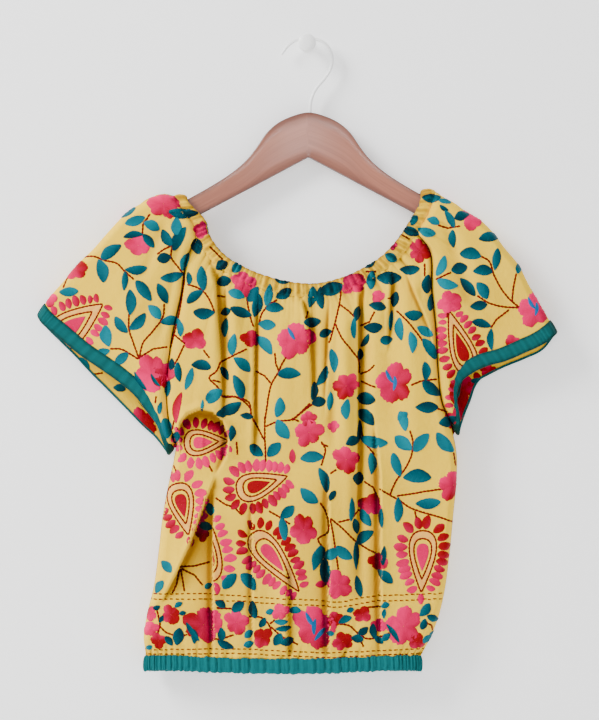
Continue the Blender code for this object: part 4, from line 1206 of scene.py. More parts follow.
def dressed_binding(side):
    """The strip folded over a cuff's edge, narrower where the sleeve is short beside the underarm."""
    (start, near, edge), ring_a, _ = sleeve_rings(side, 110, 40, np.array([0.0, 0.9, 1.0]))
    out = unit(np.cross(np.roll(edge, -1, 0) - np.roll(edge, 1, 0), edge - near))
    if side == "right":
        out = -out
    inward = unit(near - edge)
    length = np.linalg.norm((start - edge) * (1, 0, 1), axis=-1)
    band = np.minimum(BINDING_WIDTH, BINDING_SHARE * length)[:, None]
    step = np.arange(len(ring_a))
    pucker = 0.25 * np.sin(step * 0.9) * np.sin(step * 0.23)
    rows = []
    for share, away in BINDING_PROFILE:
        away = away + pucker * (0 < share < 1)
        rows.append(edge + inward * band * share + out * away[:, None])
    name = "cuff_binding_" + side
    sheet = cloth_sheet(name + "_cloth", np.stack(rows), ring=True, turned=side == "left", thick=0.5)
    sheet.data.materials.append(TEAL)
    return dressed(sheet, "teal_cotton", name)


for side in ("left", "right"):
    dressed_binding(side)

# %% [markdown]
# ## The hanger
#
# A wooden hanger is sawn from a board to a flat bow, and its edges are rounded. That is how it is
# modelled too: a flat grid is bent to the outline column by column, given the board's thickness,
# and its edges are bevelled. The grain runs along both arms from the middle, so each point keeps
# its distance along the arm and its height in it for the wood's finish.

# %% Saw, thicken and round the hanger
HANGER_COLUMNS, HANGER_ROWS = 121, 5
BLANK_HEIGHT = 10.0
TIP_ROUND = 9.0
both_arms = [(-d, 0.0, z) for d, z in ARM_TOP_ROWS[:0:-1]] + [(d, 0.0, z) for d, z in ARM_TOP_ROWS]
top_line = through(both_arms)(np.linspace(0.0, 1.0, 600))


def bow_at(x):
    """The height of the bow's upper and lower edge at a place across, in millimetres."""
    distance = abs(x - HANGER_X)
    return float(np.interp(distance, top_line[:, 0], top_line[:, 2])), NOTCH_Z - ARM_SLOPE * distance


bpy.ops.object.select_all(action="DESELECT")
bpy.ops.mesh.primitive_grid_add(
    x_subdivisions=HANGER_COLUMNS - 1, y_subdivisions=HANGER_ROWS - 1, size=1.0,
    location=(HANGER_X * MM, HANGER_Y * MM, 0.0), rotation=UPRIGHT,
    scale=(2 * ARM_HALF_SPAN * MM, 1.0, 1.0),
)
hanger = bpy.context.object
hanger.name = "hanger_bow"
hanger.scale = (2 * ARM_HALF_SPAN * MM, BLANK_HEIGHT * MM, 1.0)
bpy.ops.object.transform_apply(location=True, rotation=True, scale=True)
columns_x = sorted({round(v.co.x, 6) for v in hanger.data.vertices})
for x in columns_x:
    distance = abs(x / MM - HANGER_X)
    upper, lower = bow_at(x / MM)
    tip = max(0.0, (distance - ARM_HALF_SPAN + TIP_ROUND) / TIP_ROUND)
    tall = (upper - lower) / BLANK_HEIGHT * math.sqrt(max(0.12, 1.0 - tip * tip))
    bpy.ops.object.mode_set(mode="EDIT")
    bpy.ops.mesh.select_all(action="DESELECT")
    bpy.ops.object.mode_set(mode="OBJECT")
    for vertex in hanger.data.vertices:
        vertex.select = abs(vertex.co.x - x) < 1e-5
    bpy.ops.object.mode_set(mode="EDIT")
    bpy.ops.transform.resize(value=(1.0, 1.0, tall), center_override=(x, HANGER_Y * MM, 0.0))
    forward = ARM_FORWARD * (distance / ARM_HALF_SPAN) ** 2
    bpy.ops.transform.translate(value=(0.0, -forward * MM, (upper + lower) / 2 * MM))
bpy.ops.object.mode_set(mode="OBJECT")
modified(hanger, "SOLIDIFY", "board thickness", thickness=2 * ARM_HALF_THICK * MM, offset=0.0)
modified(
    hanger, "BEVEL", "rounded edges", width=ARM_EDGE_ROUND * MM, segments=4,
    limit_method="ANGLE", angle_limit=math.radians(50),
)
bpy.ops.object.shade_smooth_by_angle(angle=math.radians(40))

OTHER_ARM = 0.4  # how much further along the grain the right arm's wood was cut, in metres
grain, painted_edge_shade = [], []
for vertex in hanger.data.vertices:
    x, y, z = vertex.co
    upper, lower = bow_at(x / MM)
    along = abs(x - HANGER_X * MM) + OTHER_ARM * (x > 0)
    grain += [along, z - (upper + lower) / 2 * MM, y]
    # Painted shade on the rounded edges: 1 at an edge, 0 from one edge radius inside
    inside = min(upper - z / MM, z / MM - lower)
    painted_edge_shade.append(min(1.0, max(0.0, 1.0 - inside / ARM_EDGE_ROUND)))
hanger.data.attributes.new("grain", "FLOAT_VECTOR", "POINT").data.foreach_set("vector", grain)
store(hanger.data, "painted_edge_shade", painted_edge_shade)
hanger.data.materials.append(WOOD)
dressed(hanger, "varnished_wood", "hanger_wood")
print("hanger:", len(hanger.data.polygons), "faces", [round(d / MM) for d in hanger.dimensions])

# %% [markdown]
# ## The hook
#
# Wire bent into a hook: a Bezier curve with a round bevel is made of wire already, so it only needs
# its points, and is then turned into a mesh with its end filed round.

# %% Bend the hook
bpy.ops.object.select_all(action="DESELECT")
bpy.ops.curve.primitive_bezier_curve_add()
hook = bpy.context.object
hook.name = "hook_wire"
hook_route = through([(x, HANGER_Y, z) for x, z in HOOK_CURVE_ROWS])
HOOK_POINTS = 26
spline = hook.data.splines[0]
spline.bezier_points.add(HOOK_POINTS - 2)
for step, point in enumerate(spline.bezier_points):
    share = step / (HOOK_POINTS - 1)
    point.co = Vector(hook_route(share)) * MM
    point.handle_left_type = point.handle_right_type = "AUTO"
    point.radius = 0.72 if step == HOOK_POINTS - 1 else 1.0
hook.data.dimensions = "3D"
hook.data.bevel_depth = WIRE_RADIUS * MM
hook.data.bevel_resolution = 6
hook.data.resolution_u = 8
hook.data.use_fill_caps = True
bpy.ops.object.convert(target="MESH")
bpy.ops.object.transform_apply(location=True, rotation=True, scale=True)
bpy.ops.object.shade_smooth_by_angle(angle=math.radians(40))
hook.data.materials.append(WIRE)
dressed(hook, "white_wire", "hanger_hook")
print("hook:", len(hook.data.polygons), "faces")

# %% [markdown]
# ## The wall peg
#
# A turned peg is drawn out of a disc: each step of the table extrudes the disc's face away from the
# wall and then changes its size.

# %% Turn the peg
bpy.ops.object.select_all(action="DESELECT")
bpy.ops.mesh.primitive_circle_add(
    vertices=64, radius=PEG_ROWS[0][1] * MM, fill_type="NGON", rotation=UPRIGHT,
)
peg = bpy.context.object
peg.name = "peg_turned"
bpy.ops.object.transform_apply(location=True, rotation=True, scale=True)
bpy.ops.object.mode_set(mode="EDIT")
bpy.ops.mesh.select_all(action="SELECT")
for (out_a, radius_a), (out_b, radius_b) in zip(PEG_ROWS, PEG_ROWS[1:]):
    bpy.ops.mesh.extrude_region_move(TRANSFORM_OT_translate={"value": (0.0, -(out_b - out_a) * MM, 0.0)})
    size = radius_b / radius_a
    bpy.ops.transform.resize(value=(size, 1.0, size), center_override=(0.0, -out_b * MM, 0.0))
bpy.ops.mesh.inset(thickness=1.2 * MM, depth=0.35 * MM)
bpy.ops.mesh.inset(thickness=2.4 * MM, depth=0.15 * MM)
bpy.ops.mesh.select_all(action="DESELECT")
bpy.ops.object.mode_set(mode="OBJECT")
for edge in peg.data.edges:
    edge.select = all(abs(peg.data.vertices[v].co.y) < 1e-6 for v in edge.vertices)
bpy.ops.object.mode_set(mode="EDIT")
bpy.ops.mesh.edge_face_add()
bpy.ops.mesh.select_all(action="SELECT")
bpy.ops.mesh.normals_make_consistent(inside=False)
bpy.ops.object.mode_set(mode="OBJECT")
modified(
    peg, "BEVEL", "soft edges", width=0.5 * MM, segments=3,
    limit_method="ANGLE", angle_limit=math.radians(25),
)
bpy.ops.object.shade_smooth_by_angle(angle=math.radians(35))
peg.data.materials.append(PLASTIC)
dressed(peg, "white_plastic", "wall_peg")
print("peg:", len(peg.data.polygons), "faces")

# %% [markdown]
# ## Embroidery
#
# Every motif is satin stitch: short threads laid side by side until they fill a leaf or a petal.
# It is made as a thin patch: a flat grid of points is drawn by a formula, pressed onto the cloth
# from the front by a ray for each point, and raised a little in its middle, while its edge is sunk
# into the cotton. Each patch goes to the basket of its thread. Its UV map runs along and across the
# stitches, and its tint says how bright or how pink the thread is there.

# %% Baskets of stitched patches
baskets = {}
chance = np.random.default_rng(7)


def put(thread, points, height, stitch, tint):
    """Keep a patch for a thread: its flat points, and the height, stitch and tint at each of them.

    The height is over the cloth, and the stitch is the place along and across the stitches, all in
    millimetres.
    """
    baskets.setdefault(thread, []).append((points, height, stitch, np.broadcast_to(tint, height.shape)))


def turned(points, degrees, across, up):
    """Flat points turned and moved to their place."""
    c, s = math.cos(math.radians(degrees)), math.sin(math.radians(degrees))
    x, z = points[..., 0], points[..., 1]
    return np.stack([across + c * x - s * z, up + s * x + c * z], -1)


SWELL = 1.12  # a leaf is drawn larger than its place in the tables, for the edge that sinks in
SUNK_EDGE = -0.25
VINE_WIDTH, OUTLINE_WIDTH = 2.5, 2.3


def satin_leaf(thread, across, up, length, width, degrees, tint, steps=20, cells=10, rise=0.75):
    """A pointed oval of slanting stitches, with a slightly bent middle and uneven stitch ends."""
    along, aside = np.linspace(0.0, 1.0, steps + 1), np.linspace(-1.0, 1.0, cells + 1)
    t, j = np.meshgrid(along, aside, indexing="ij")
    lean, bend = chance.uniform(0.85, 1.15), chance.uniform(-0.08, 0.08)
    length, width = length * SWELL, width * SWELL
    half = width / 2 * np.sin(math.pi * t**lean) ** 0.72
    half = half + (np.abs(j) == 1) * chance.uniform(-0.22, 0.3, t.shape) * (np.sin(math.pi * t) > 0.15)
    points = np.stack([(t - 0.5) * length, j * half + bend * length * np.sin(math.pi * t)], -1)
    height = np.where((np.abs(j) == 1) | (t == 0) | (t == 1), SUNK_EDGE, rise * (1 - 0.25 * j * j))
    stitch = np.stack([t * length + np.abs(j) * half * 0.5, j * half], -1)
    shade = tint + 0.22 * (t - 0.5) * chance.choice((-1, 1)) + 0.18 * j * chance.choice((-1, 1))
    put(thread, turned(points, degrees, across, up), height, stitch, shade)


# %% Flowers, hearts and stems
def satin_flower(across, up, radius, petals, degrees, tint):
    """A round flower of notched petals. Its stitches run out from the middle, from red to pink."""
    rings = 7 + int(radius / 4)
    steps = 48 + int(radius)
    shares, turns = np.linspace(0.02, 1.0, rings), np.linspace(0, 2 * math.pi, steps + 1)
    r, turn = np.meshgrid(shares, turns, indexing="ij")
    notch = np.abs(np.cos(petals * turn / 2 + 0.35 * np.sin(turn + degrees))) ** 0.5
    uneven = 1 + 0.09 * np.sin(2 * turn + degrees) + 0.07 * np.sin(3 * turn + 2 * degrees)
    ends = 1 + np.tile(np.append(chance.uniform(-0.05, 0.06, steps), 0.0), (rings, 1)) * (r > 0.9)
    out = radius * r * (1 - (0.34 * (1 - notch)) * r**1.5) * uneven * ends
    points = np.stack([out * np.cos(turn), out * np.sin(turn)], -1)
    height = np.where(r >= 1.0, SUNK_EDGE, 0.62 - 0.25 * (1 - notch) * r)
    stitch = np.stack([turn * radius * 0.7, out], -1)
    side = np.cos(turn - math.radians(degrees * 3 + 50))
    shade = tint + 0.5 * side * r + 0.18 * np.cos(petals * turn + degrees) * r
    put("petals", turned(points, degrees, across, up), height, stitch, np.clip(shade, -0.1, 1.1))


def stem(thread, points, width, rise=0.6, step=1.3, jitter=0.16, tint=0.5, closed=False):
    """A line of back stitches through flat points: each stitch is a little fatter in its middle."""
    points = np.array(points, float)
    if closed:
        points = np.concatenate([points, points[:1]])
    lengths = np.concatenate([[0.0], np.linalg.norm(np.diff(points, axis=0), axis=1).cumsum()])
    count = max(4, int(lengths[-1] / step))
    at = np.linspace(0.0, lengths[-1], count + 1)
    if len(points) > 3:
        middle = through(points)(at / lengths[-1])
    else:
        middle = np.column_stack([np.interp(at, lengths, points[:, k]) for k in (0, 1)])
    ahead = unit(np.gradient(middle, axis=0))
    aside = np.column_stack([-ahead[:, 1], ahead[:, 0]])
    middle = middle + aside * chance.uniform(-jitter, jitter, (count + 1, 1))
    if closed:
        middle[-1] = middle[0]
    fat = np.where(np.arange(count + 1) % 3 == 0, 0.72, 1.08) * width / 2
    j = np.linspace(-1.0, 1.0, 5)
    flat = middle[:, None] + aside[:, None] * (fat[:, None] * j)[..., None]
    height = np.broadcast_to(np.array([SUNK_EDGE, 0.6, 1.0, 0.6, SUNK_EDGE]) * rise, flat.shape[:2])
    stitch = np.stack(np.broadcast_arrays(at[:, None], j * width / 2), -1)
    put(thread, flat, height, stitch, tint + 0.25 * np.sin(at * 0.7)[:, None])


# %% [markdown]
# A paisley is a drop with a bent tip. Its core is satin stitch, a ring of peach thread lies round it
# between two dark lines of back stitch, and small petals stand all the way round the outside.

# %% Paisleys
def drop_outline(length, width, bend, count=56):
    """The outline of a drop that is round at its foot, on the left, and bent at its tip, on the right."""
    s = np.linspace(0.0, 1.0, count) ** 1.3
    half = width / 2 * np.sin(math.pi * s**0.52) ** 0.85
    middle = bend * length * s**2.2
    upper = np.column_stack([(s - 0.5) * length, middle + half])
    lower = np.column_stack([(s - 0.5) * length, middle - half])
    loop = np.concatenate([upper, lower[-2:0:-1]])
    closed = np.concatenate([loop, loop[:1]])
    lengths = np.concatenate([[0.0], np.linalg.norm(np.diff(closed, axis=0), axis=1).cumsum()])
    even = np.linspace(0.0, lengths[-1], 2 * count, endpoint=False)
    return np.column_stack([np.interp(even, lengths, closed[:, k]) for k in (0, 1)])


def nested(outline, length, share):
    """The same drop made smaller round a point near its foot."""
    centre = np.array([-0.12 * length, 0.0])
    return centre + (outline - centre) * share


def paisley(across, up, length, width, degrees, bend, core_tint, petal_tint, petals, petal_length):
    """A whole paisley: the peach ring, the core, the two dark lines and the petals round them."""
    outline = drop_outline(length, width, bend)
    inner = nested(outline, length, 0.66)
    core = nested(outline, length, 0.47)
    outer_lap, inner_lap = np.concatenate([outline, outline[:1]]), np.concatenate([inner, inner[:1]])
    share = np.linspace(0.0, 1.0, 4)[:, None, None]
    ring = outer_lap * (1 - share) + inner_lap * share
    around = np.linalg.norm(np.diff(outer_lap, axis=0, prepend=outer_lap[:1]), axis=1).cumsum()
    stitch = np.stack(np.broadcast_arrays(around[None], share[..., 0] * width * 0.17), -1)
    height = np.broadcast_to(np.array([-0.1, 0.35, 0.35, -0.1])[:, None], ring.shape[:2])
    put("peach", turned(ring, degrees, across, up), height, stitch, 0.5 + 0.3 * np.sin(around * 0.4))
    middle = core.mean(axis=0)
    shares = np.array([0.02, 0.4, 0.75, 0.92, 1.0])[:, None, None]
    fill = middle + (np.concatenate([core, core[:1]]) - middle) * shares
    height = np.broadcast_to(np.array([0.55, 0.55, 0.5, 0.4, -0.2])[:, None], fill.shape[:2])
    put("petals", turned(fill, degrees, across, up), height, fill, core_tint + 0.2 * fill[..., 0] / length)
    for line in (outline, inner):
        stem("stems", turned(line, degrees, across, up), OUTLINE_WIDTH, closed=True, jitter=0.1)
    normal = np.roll(outline, -1, 0) - np.roll(outline, 1, 0)
    normal = unit(np.column_stack([-normal[:, 1], normal[:, 0]]))
    for k in range(petals):
        i = int((k + 0.5) * len(outline) / petals)
        size = petal_length * chance.uniform(0.9, 1.15) * (0.85 if outline[i, 0] > 0.3 * length else 1.0)
        x, z = outline[i] + normal[i] * (1.8 + size / 2)
        px, pz = turned(np.array([x, z]), degrees, across, up)
        way = math.degrees(math.atan2(*normal[i][::-1])) + degrees + chance.uniform(-9, 9)
        pink = petal_tint + 0.45 * math.sin(2 * math.pi * k / petals + degrees)
        satin_leaf("petals", px, pz, size, 0.68 * size, way, pink, steps=7, cells=4, rise=0.6)


# %% [markdown]
# ### Where the motifs are
#
# The tables hold the places of the motifs, set one by one over the whole front: leaves in pairs along
# the stems, flowers at their ends, paisleys low on the body and on the sleeves, and a border of
# flowers between rows of running stitch above the hem.

# %% The layout
LEAVES = (
    # across, down, length, width, way of the tip in degrees, how bright
    (222.2, 266.1, 12.6, 9.9, 30, 0), (236.5, 267, 12.6, 9.2, 60, 1),
    (224.1, 281.8, 13.8, 10.5, 10, 0), (226, 327.7, 17.6, 7.3, 85, 0.6), (226, 312, 9.9, 8, 20, 0),
    (233.7, 344.5, 19.9, 9.2, 82, 0.8), (242.3, 364.6, 19.9, 10.5, 320, 0.4),
    (238.4, 386.6, 23, 10.7, 110, 0.3), (225, 373.6, 14.2, 6.9, 120, 0),
    (215.5, 396.2, 17.6, 11.9, 45, 0.8), (231.2, 406.9, 21.4, 11.1, 25, 0.1),
    (247, 415.7, 12.2, 6.5, 350, 0), (203, 405.2, 11.1, 3.4, 85, 0.8),
    (236.5, 294.8, 16.1, 9.9, 340, 0.8), (253.2, 294.4, 16.5, 10.7, 55, 0.3),
    (256.6, 305.3, 22.2, 10.7, 80, 0.2), (241.3, 312, 21, 9.9, 340, 0.1),
    (268.3, 295.2, 20.7, 8.8, 80, 0.6), (283.6, 293.6, 16.5, 10.3, 30, 0.1),
    (274.8, 308.9, 16.8, 9.9, 0, 0.3), (267.3, 324.6, 16.1, 10.3, 355, 0.7),
    (264.5, 345.7, 21.4, 10.7, 310, 0.8), (289.3, 374.2, 21.4, 11.1, 0, 0.3),
    (278.6, 406.9, 18.7, 10.3, 80, 0.7), (312.3, 321.8, 16.1, 9.9, 5, 0.1),
    (311.1, 297.1, 19.9, 9.6, 80, 0.4), (321.3, 298.2, 20.7, 8.4, 95, 0.1),
    (331.2, 289, 23, 13.4, 15, 0.2), (325.3, 333.4, 12.2, 8.4, 25, 0),
    (332.4, 360.8, 22.2, 8.8, 98, 0.6), (321.9, 375.5, 20.3, 8.4, 62, 0.2),
    (313.2, 390.8, 17.2, 7.7, 84, 0.1), (318.8, 401.9, 13.4, 10.3, 10, -0.5),
    (346.7, 408.8, 18.7, 9.2, 85, 0.8), (330.3, 400, 16.1, 5.4, 90, 0.7),
    (354.2, 327.7, 20.7, 5.7, 88, 0.6), (357.1, 313.9, 14.2, 7.3, 80, 0),
    (372.7, 326.9, 17.2, 10.3, 0, -0.4), (377, 306.7, 16.1, 9.2, 350, 0),
    (371.4, 280.4, 17.6, 9.2, 85, 0.6), (388.8, 278, 23, 12.6, 0, 0.1),
    (409.1, 269.2, 18.7, 9.6, 2, 0.1), (394.6, 299.6, 14.5, 8, 80, 0),
    (412.9, 314.3, 17.2, 10.3, 0, 0.3), (399.9, 329.2, 21.4, 8.8, 95, 0.7),
    (410.6, 342.6, 19.9, 8.8, 96, 0.9), (424.2, 331.5, 16.8, 9.2, 330, 0.8),
    (428.2, 349.1, 22.6, 10.3, 302, 0.4), (385.8, 339.9, 11.9, 9.2, 10, 0.2),
    (390.9, 320.6, 19.1, 4.6, 85, 0.7), (364.7, 340.3, 13.8, 5.7, 60, 0.1),
    (359.9, 354.1, 10.3, 6.5, 90, -0.3), (426.9, 284.5, 17.6, 9.9, 85, 0),
    (429.8, 302.8, 16.1, 6.9, 85, 0.1), (424.2, 371.3, 18, 8.8, 92, 0.3),
    (430.9, 388, 21.4, 11.1, 322, 0.1), (425.9, 406.9, 21.4, 11.1, 0, 0.1),
    (402, 416.1, 11.5, 8.8, 40, 0.7), (364.7, 397.7, 16.1, 11.5, 0, 0.1),
    (365.1, 415.7, 16.5, 9.6, 320, 0.1), (390.5, 258.1, 12.6, 8.8, 330, 0.7),
    (369.5, 263.6, 12.6, 6.9, 40, 0.4), (282.4, 280.8, 14.2, 5.4, 350, 0.3),
    (198.3, 247, 14.9, 11.1, 100, 0.1), (231.7, 408.1, 18.2, 11.1, 22, 0.1),
    (222.8, 412.6, 11.1, 8.3, 10, -0.5), (283.1, 428.6, 20.6, 12.3, 302, 0.8),
    (256.8, 449.6, 15.8, 10.3, 320, 0.2), (274.2, 449.2, 17.4, 11.1, 46, 0.4),
    (166.7, 426.7, 16.6, 10.7, 95, 0.5), (231.7, 432.6, 15, 7.5, 85, 0.1),
    (311.8, 457.1, 21.4, 11.1, 185, 0.5), (322.8, 479.6, 24.1, 9.5, 108, 0.3),
    (309.2, 494.7, 21, 11.5, 320, 0.6), (287.3, 510.9, 16.6, 10.3, 40, 0.3),
    (283.3, 527.9, 22.1, 9.1, 278, 0.5), (318.5, 556, 20.6, 11.1, 62, 0.3),
    (323.6, 571, 23.7, 8.3, 275, 0.1), (230.1, 579.7, 18.2, 11.5, 48, 0.4),
    (248.5, 580.5, 19.8, 11.9, 312, 0.4), (210.2, 508.9, 11.9, 8.7, 100, 0.6),
    (205.8, 525.5, 13.8, 8.7, 345, 0.4), (208.8, 584.8, 7.9, 5.9, 30, 0.7),
    (167.4, 565.1, 13.8, 9.1, 312, 0.6), (160.5, 585.6, 13.8, 7.9, 60, 0.6),
    (220.8, 602.6, 11.1, 7.5, 330, 0.1), (238.6, 605.4, 13.8, 9.9, 40, 0.2),
    (254.4, 607.8, 16.6, 8.7, 100, 0.1), (179.3, 603.4, 8.3, 5.1, 30, 0.4),
    (157.6, 605.8, 7.1, 5.1, 20, 0), (162.1, 617.2, 7.9, 4.7, 60, 0),
    (169.4, 639.4, 11.1, 7.1, 310, 0.1), (178.9, 635, 16.6, 11.1, 80, 0.1),
    (194.3, 634.6, 14.6, 7.5, 95, 0.1), (221.8, 632.3, 13, 7.9, 95, 0.2),
    (226, 642.2, 16.6, 7.9, 335, 0.1), (248.9, 632.3, 9.9, 7.5, 40, 0.6),
    (248.9, 642.2, 9.9, 7.1, 20, 0.6), (281.1, 619.6, 12.7, 5.9, 0, 0.6),
    (283.3, 626.3, 15, 5.9, 5, 0.2), (277.8, 637.4, 13, 9.5, 60, 0.2),
    (287.1, 639.4, 13, 8.7, 20, 0.1), (294.8, 609.3, 11.9, 7.5, 0, 0.6),
    (269.9, 609.7, 7.9, 5.9, 20, 0.6), (149.7, 645.9, 6.7, 5.1, 20, 0.6),
    (262.7, 620.8, 10.3, 6.7, 60, 0.1), (183.3, 611.7, 6.7, 4.7, 10, 0.1),
    (128.1, 212.9, 17.6, 8, 28, 0.3), (136, 221.3, 19.5, 9.6, 18, 0.6),
    (152.4, 226.9, 16.1, 10, 335, 0.7), (134.2, 236.6, 18.4, 7.3, 8, 0.1),
    (149.4, 241.6, 16.1, 8.8, 310, 0.2), (112.2, 252.7, 22.6, 11.1, 35, 0.3),
    (102.3, 271.5, 21.8, 11.9, 283, 0.4), (137.1, 269.2, 20.7, 9.2, 4, 0.3),
    (125.6, 281.4, 18, 6.5, 266, 0.3), (144.6, 291.2, 23.3, 10.7, 307, 0.3),
    (131, 302.7, 23.7, 10.7, 90, 0.3), (163.3, 293.9, 20.7, 9.6, 296, 0.2),
    (155.1, 312.4, 16.8, 10, 312, 0.9), (138.6, 321.6, 20.7, 10.3, 46, 0.3),
    (122.4, 324.9, 18.8, 9.2, 308, 0.4), (108.2, 336.1, 19.9, 11.9, 100, 0.8),
    (69.8, 291.9, 18, 9.2, 3, 0.6), (102.7, 353.4, 16.1, 8, 20, 0.6),
    (122.2, 359.1, 17.6, 9.2, 42, 0.5), (171.5, 322.2, 18.8, 9.6, 3, 0.4),
    (180.4, 328.5, 15.3, 6.9, 95, 0.6), (172.5, 276.4, 21.4, 9.6, 12, 0.3),
    (165, 258.6, 13.4, 10.3, 190, -0.5), (167.9, 238.4, 17.6, 9.6, 120, 0.2),
    (180.4, 239.7, 24.5, 10.7, 62, 0.2), (177.7, 227.1, 16.8, 10.7, 92, 0.7),
    (183.8, 212.9, 27.9, 10.3, 358, 0.2), (197.2, 246.6, 14.9, 9.6, 95, 0.1),
    (186.1, 262.3, 17.6, 7.7, 70, 0.7), (189.2, 278.7, 11.9, 6.1, 95, 0.2),
    (203.1, 278.7, 23, 10.3, 97, 0.4), (195.7, 297.3, 18.8, 9.2, 38, 0.2),
    (204.8, 312.4, 20.3, 11.1, 180, 0.1), (179.6, 371.9, 18.4, 7.7, 96, 0.2),
    (189.5, 378.6, 21.4, 7.3, 72, 0.7), (201.8, 366.2, 18.4, 10.3, 172, 0.1),
    (169.1, 388.2, 15.3, 6.5, 82, 0.1), (161.2, 407.7, 11.5, 5, 80, 0.4),
    (118.7, 388.6, 11.9, 7.7, 350, 0.2), (83.5, 364.8, 16.1, 8, 300, 0.4),
    (166.2, 428, 19.1, 11.5, 98, 0.5), (176.5, 436.8, 11.9, 8.4, 70, 0.1),
    (172.1, 364.1, 11.1, 6.1, 85, -0.4), (212.5, 395.8, 13.4, 10.7, 40, 0.6),
    (329.6, 401.7, 15.8, 6.3, 88, 0.8), (366.4, 399.8, 15.8, 11.5, 0, 0.1),
    (366, 418, 18.6, 11.5, 318, 0.1), (358.5, 430.4, 19.8, 5.5, 85, -0.3),
    (373.9, 440.1, 25.3, 11.5, 350, 0.7), (352.5, 441.3, 13.8, 9.9, 20, 0),
    (370.7, 463.2, 20.2, 8.7, 92, 0.7), (402, 420.7, 19, 9.5, 286, 0.9),
    (402.7, 442.5, 19.8, 12.3, 322, 0.8), (420.5, 442.1, 21.4, 11.9, 50, 0.7),
    (444.3, 441.7, 23.7, 11.9, 312, 0.6), (396, 464, 22.9, 9.5, 288, 0.6),
    (416.4, 476.9, 26.1, 13.4, 0, 0.3), (427.3, 501.8, 23.3, 10.7, 4, 0.4),
    (396.8, 508.5, 23.3, 9.1, 268, 0.4), (446.8, 419.9, 17.4, 11.1, 20, 0.1),
    (332.4, 494.7, 10.7, 6.3, 60, -0.3), (358.7, 478.1, 12.3, 10.7, 80, -0.5),
    (350.9, 508.5, 22.1, 5.9, 88, 0.4), (366, 516.8, 17.8, 9.5, 298, 0.7),
    (381, 516.8, 18.2, 4.7, 92, 0.3), (355.7, 525.5, 14.6, 7.1, 100, 0.1),
    (365, 536.8, 19.4, 10.3, 38, 0.3), (355.9, 554.4, 26.9, 5.9, 90, 0.1),
    (382.8, 554, 18.2, 5.9, 85, 0.1), (384.8, 574.9, 17.8, 9.9, 318, 0.3),
    (358.3, 585, 20.2, 7.5, 102, 0.2), (317.5, 556.9, 24.5, 9.9, 72, 0.4),
    (325, 570.2, 26.5, 7.5, 272, 0.1), (332.4, 552.4, 16.6, 10.7, 30, 0.6),
    (344, 551.2, 19, 10.7, 322, 0.6), (350, 608.5, 7.1, 5.5, 20, 0.3),
    (344.6, 618.4, 13.8, 7.5, 22, 0.3), (384.6, 603.6, 8.3, 6.3, 20, 0.5),
    (383.6, 611.7, 9.1, 4.7, 85, 0.5), (423.9, 608.2, 15, 9.1, 52, 0.3),
    (432, 616.5, 11.9, 7.1, 340, 0.2), (422.5, 622.4, 10.7, 7.1, 70, 0.1),
    (362.8, 629.1, 11.1, 7.5, 34, -0.2), (356.9, 637, 11.9, 8.3, 350, 0.1),
    (373.5, 629.5, 15, 7.5, 98, 0.1), (378.6, 638.2, 9.9, 6.7, 320, 0.3),
    (385.9, 635.4, 9.5, 7.1, 40, 0.4), (427.3, 638.2, 11.5, 7.5, 30, 0.5),
    (431.8, 633.9, 7.9, 5.5, 60, 0.4), (330.2, 631.5, 7.1, 5.5, 0, 0.5),
    (430.9, 198, 17.6, 8.8, 0, 0.3), (444.1, 202.2, 12.2, 5.4, 350, 0.6),
    (461.1, 217.5, 14.9, 9.6, 195, 0.1), (448.5, 219.8, 18.8, 7.3, 298, 0.4),
    (452.1, 239.5, 16.5, 7.7, 94, 0.3), (488.3, 238.6, 19.9, 10, 6, 0.2),
    (469.4, 255.8, 19.9, 11.9, 352, 0.3), (495, 259.8, 20.7, 8.4, 82, 0.3),
    (458.3, 269.2, 15.3, 11.5, 12, 0.1), (481.6, 272, 18.4, 10.7, 0, 0.2),
    (439.9, 266.3, 20.3, 8.8, 68, 1), (446.8, 283.5, 20.3, 10, 345, 1),
    (466.7, 287.5, 21.4, 9.2, 310, 0.1), (480.8, 291.2, 18, 11.1, 302, 0.4),
    (477.6, 305.9, 16.1, 9.6, 8, 0.1), (480.5, 324.1, 18, 8.4, 345, 0.1),
    (490.8, 339.6, 20.3, 6.9, 92, 0.3), (517.4, 268.8, 10.3, 6.5, 80, 0.4),
    (409.9, 231.7, 17.6, 8.8, 338, 0.2), (426.1, 231.7, 17.6, 9.2, 342, 0.7),
    (413.7, 221.1, 10.7, 8, 60, 0.7), (432.4, 222.3, 12.2, 8, 340, 0.7),
    (476.6, 380.2, 10, 6.5, 10, 0.1), (443.1, 208.7, 9.6, 4.6, 330, 0.1),
)
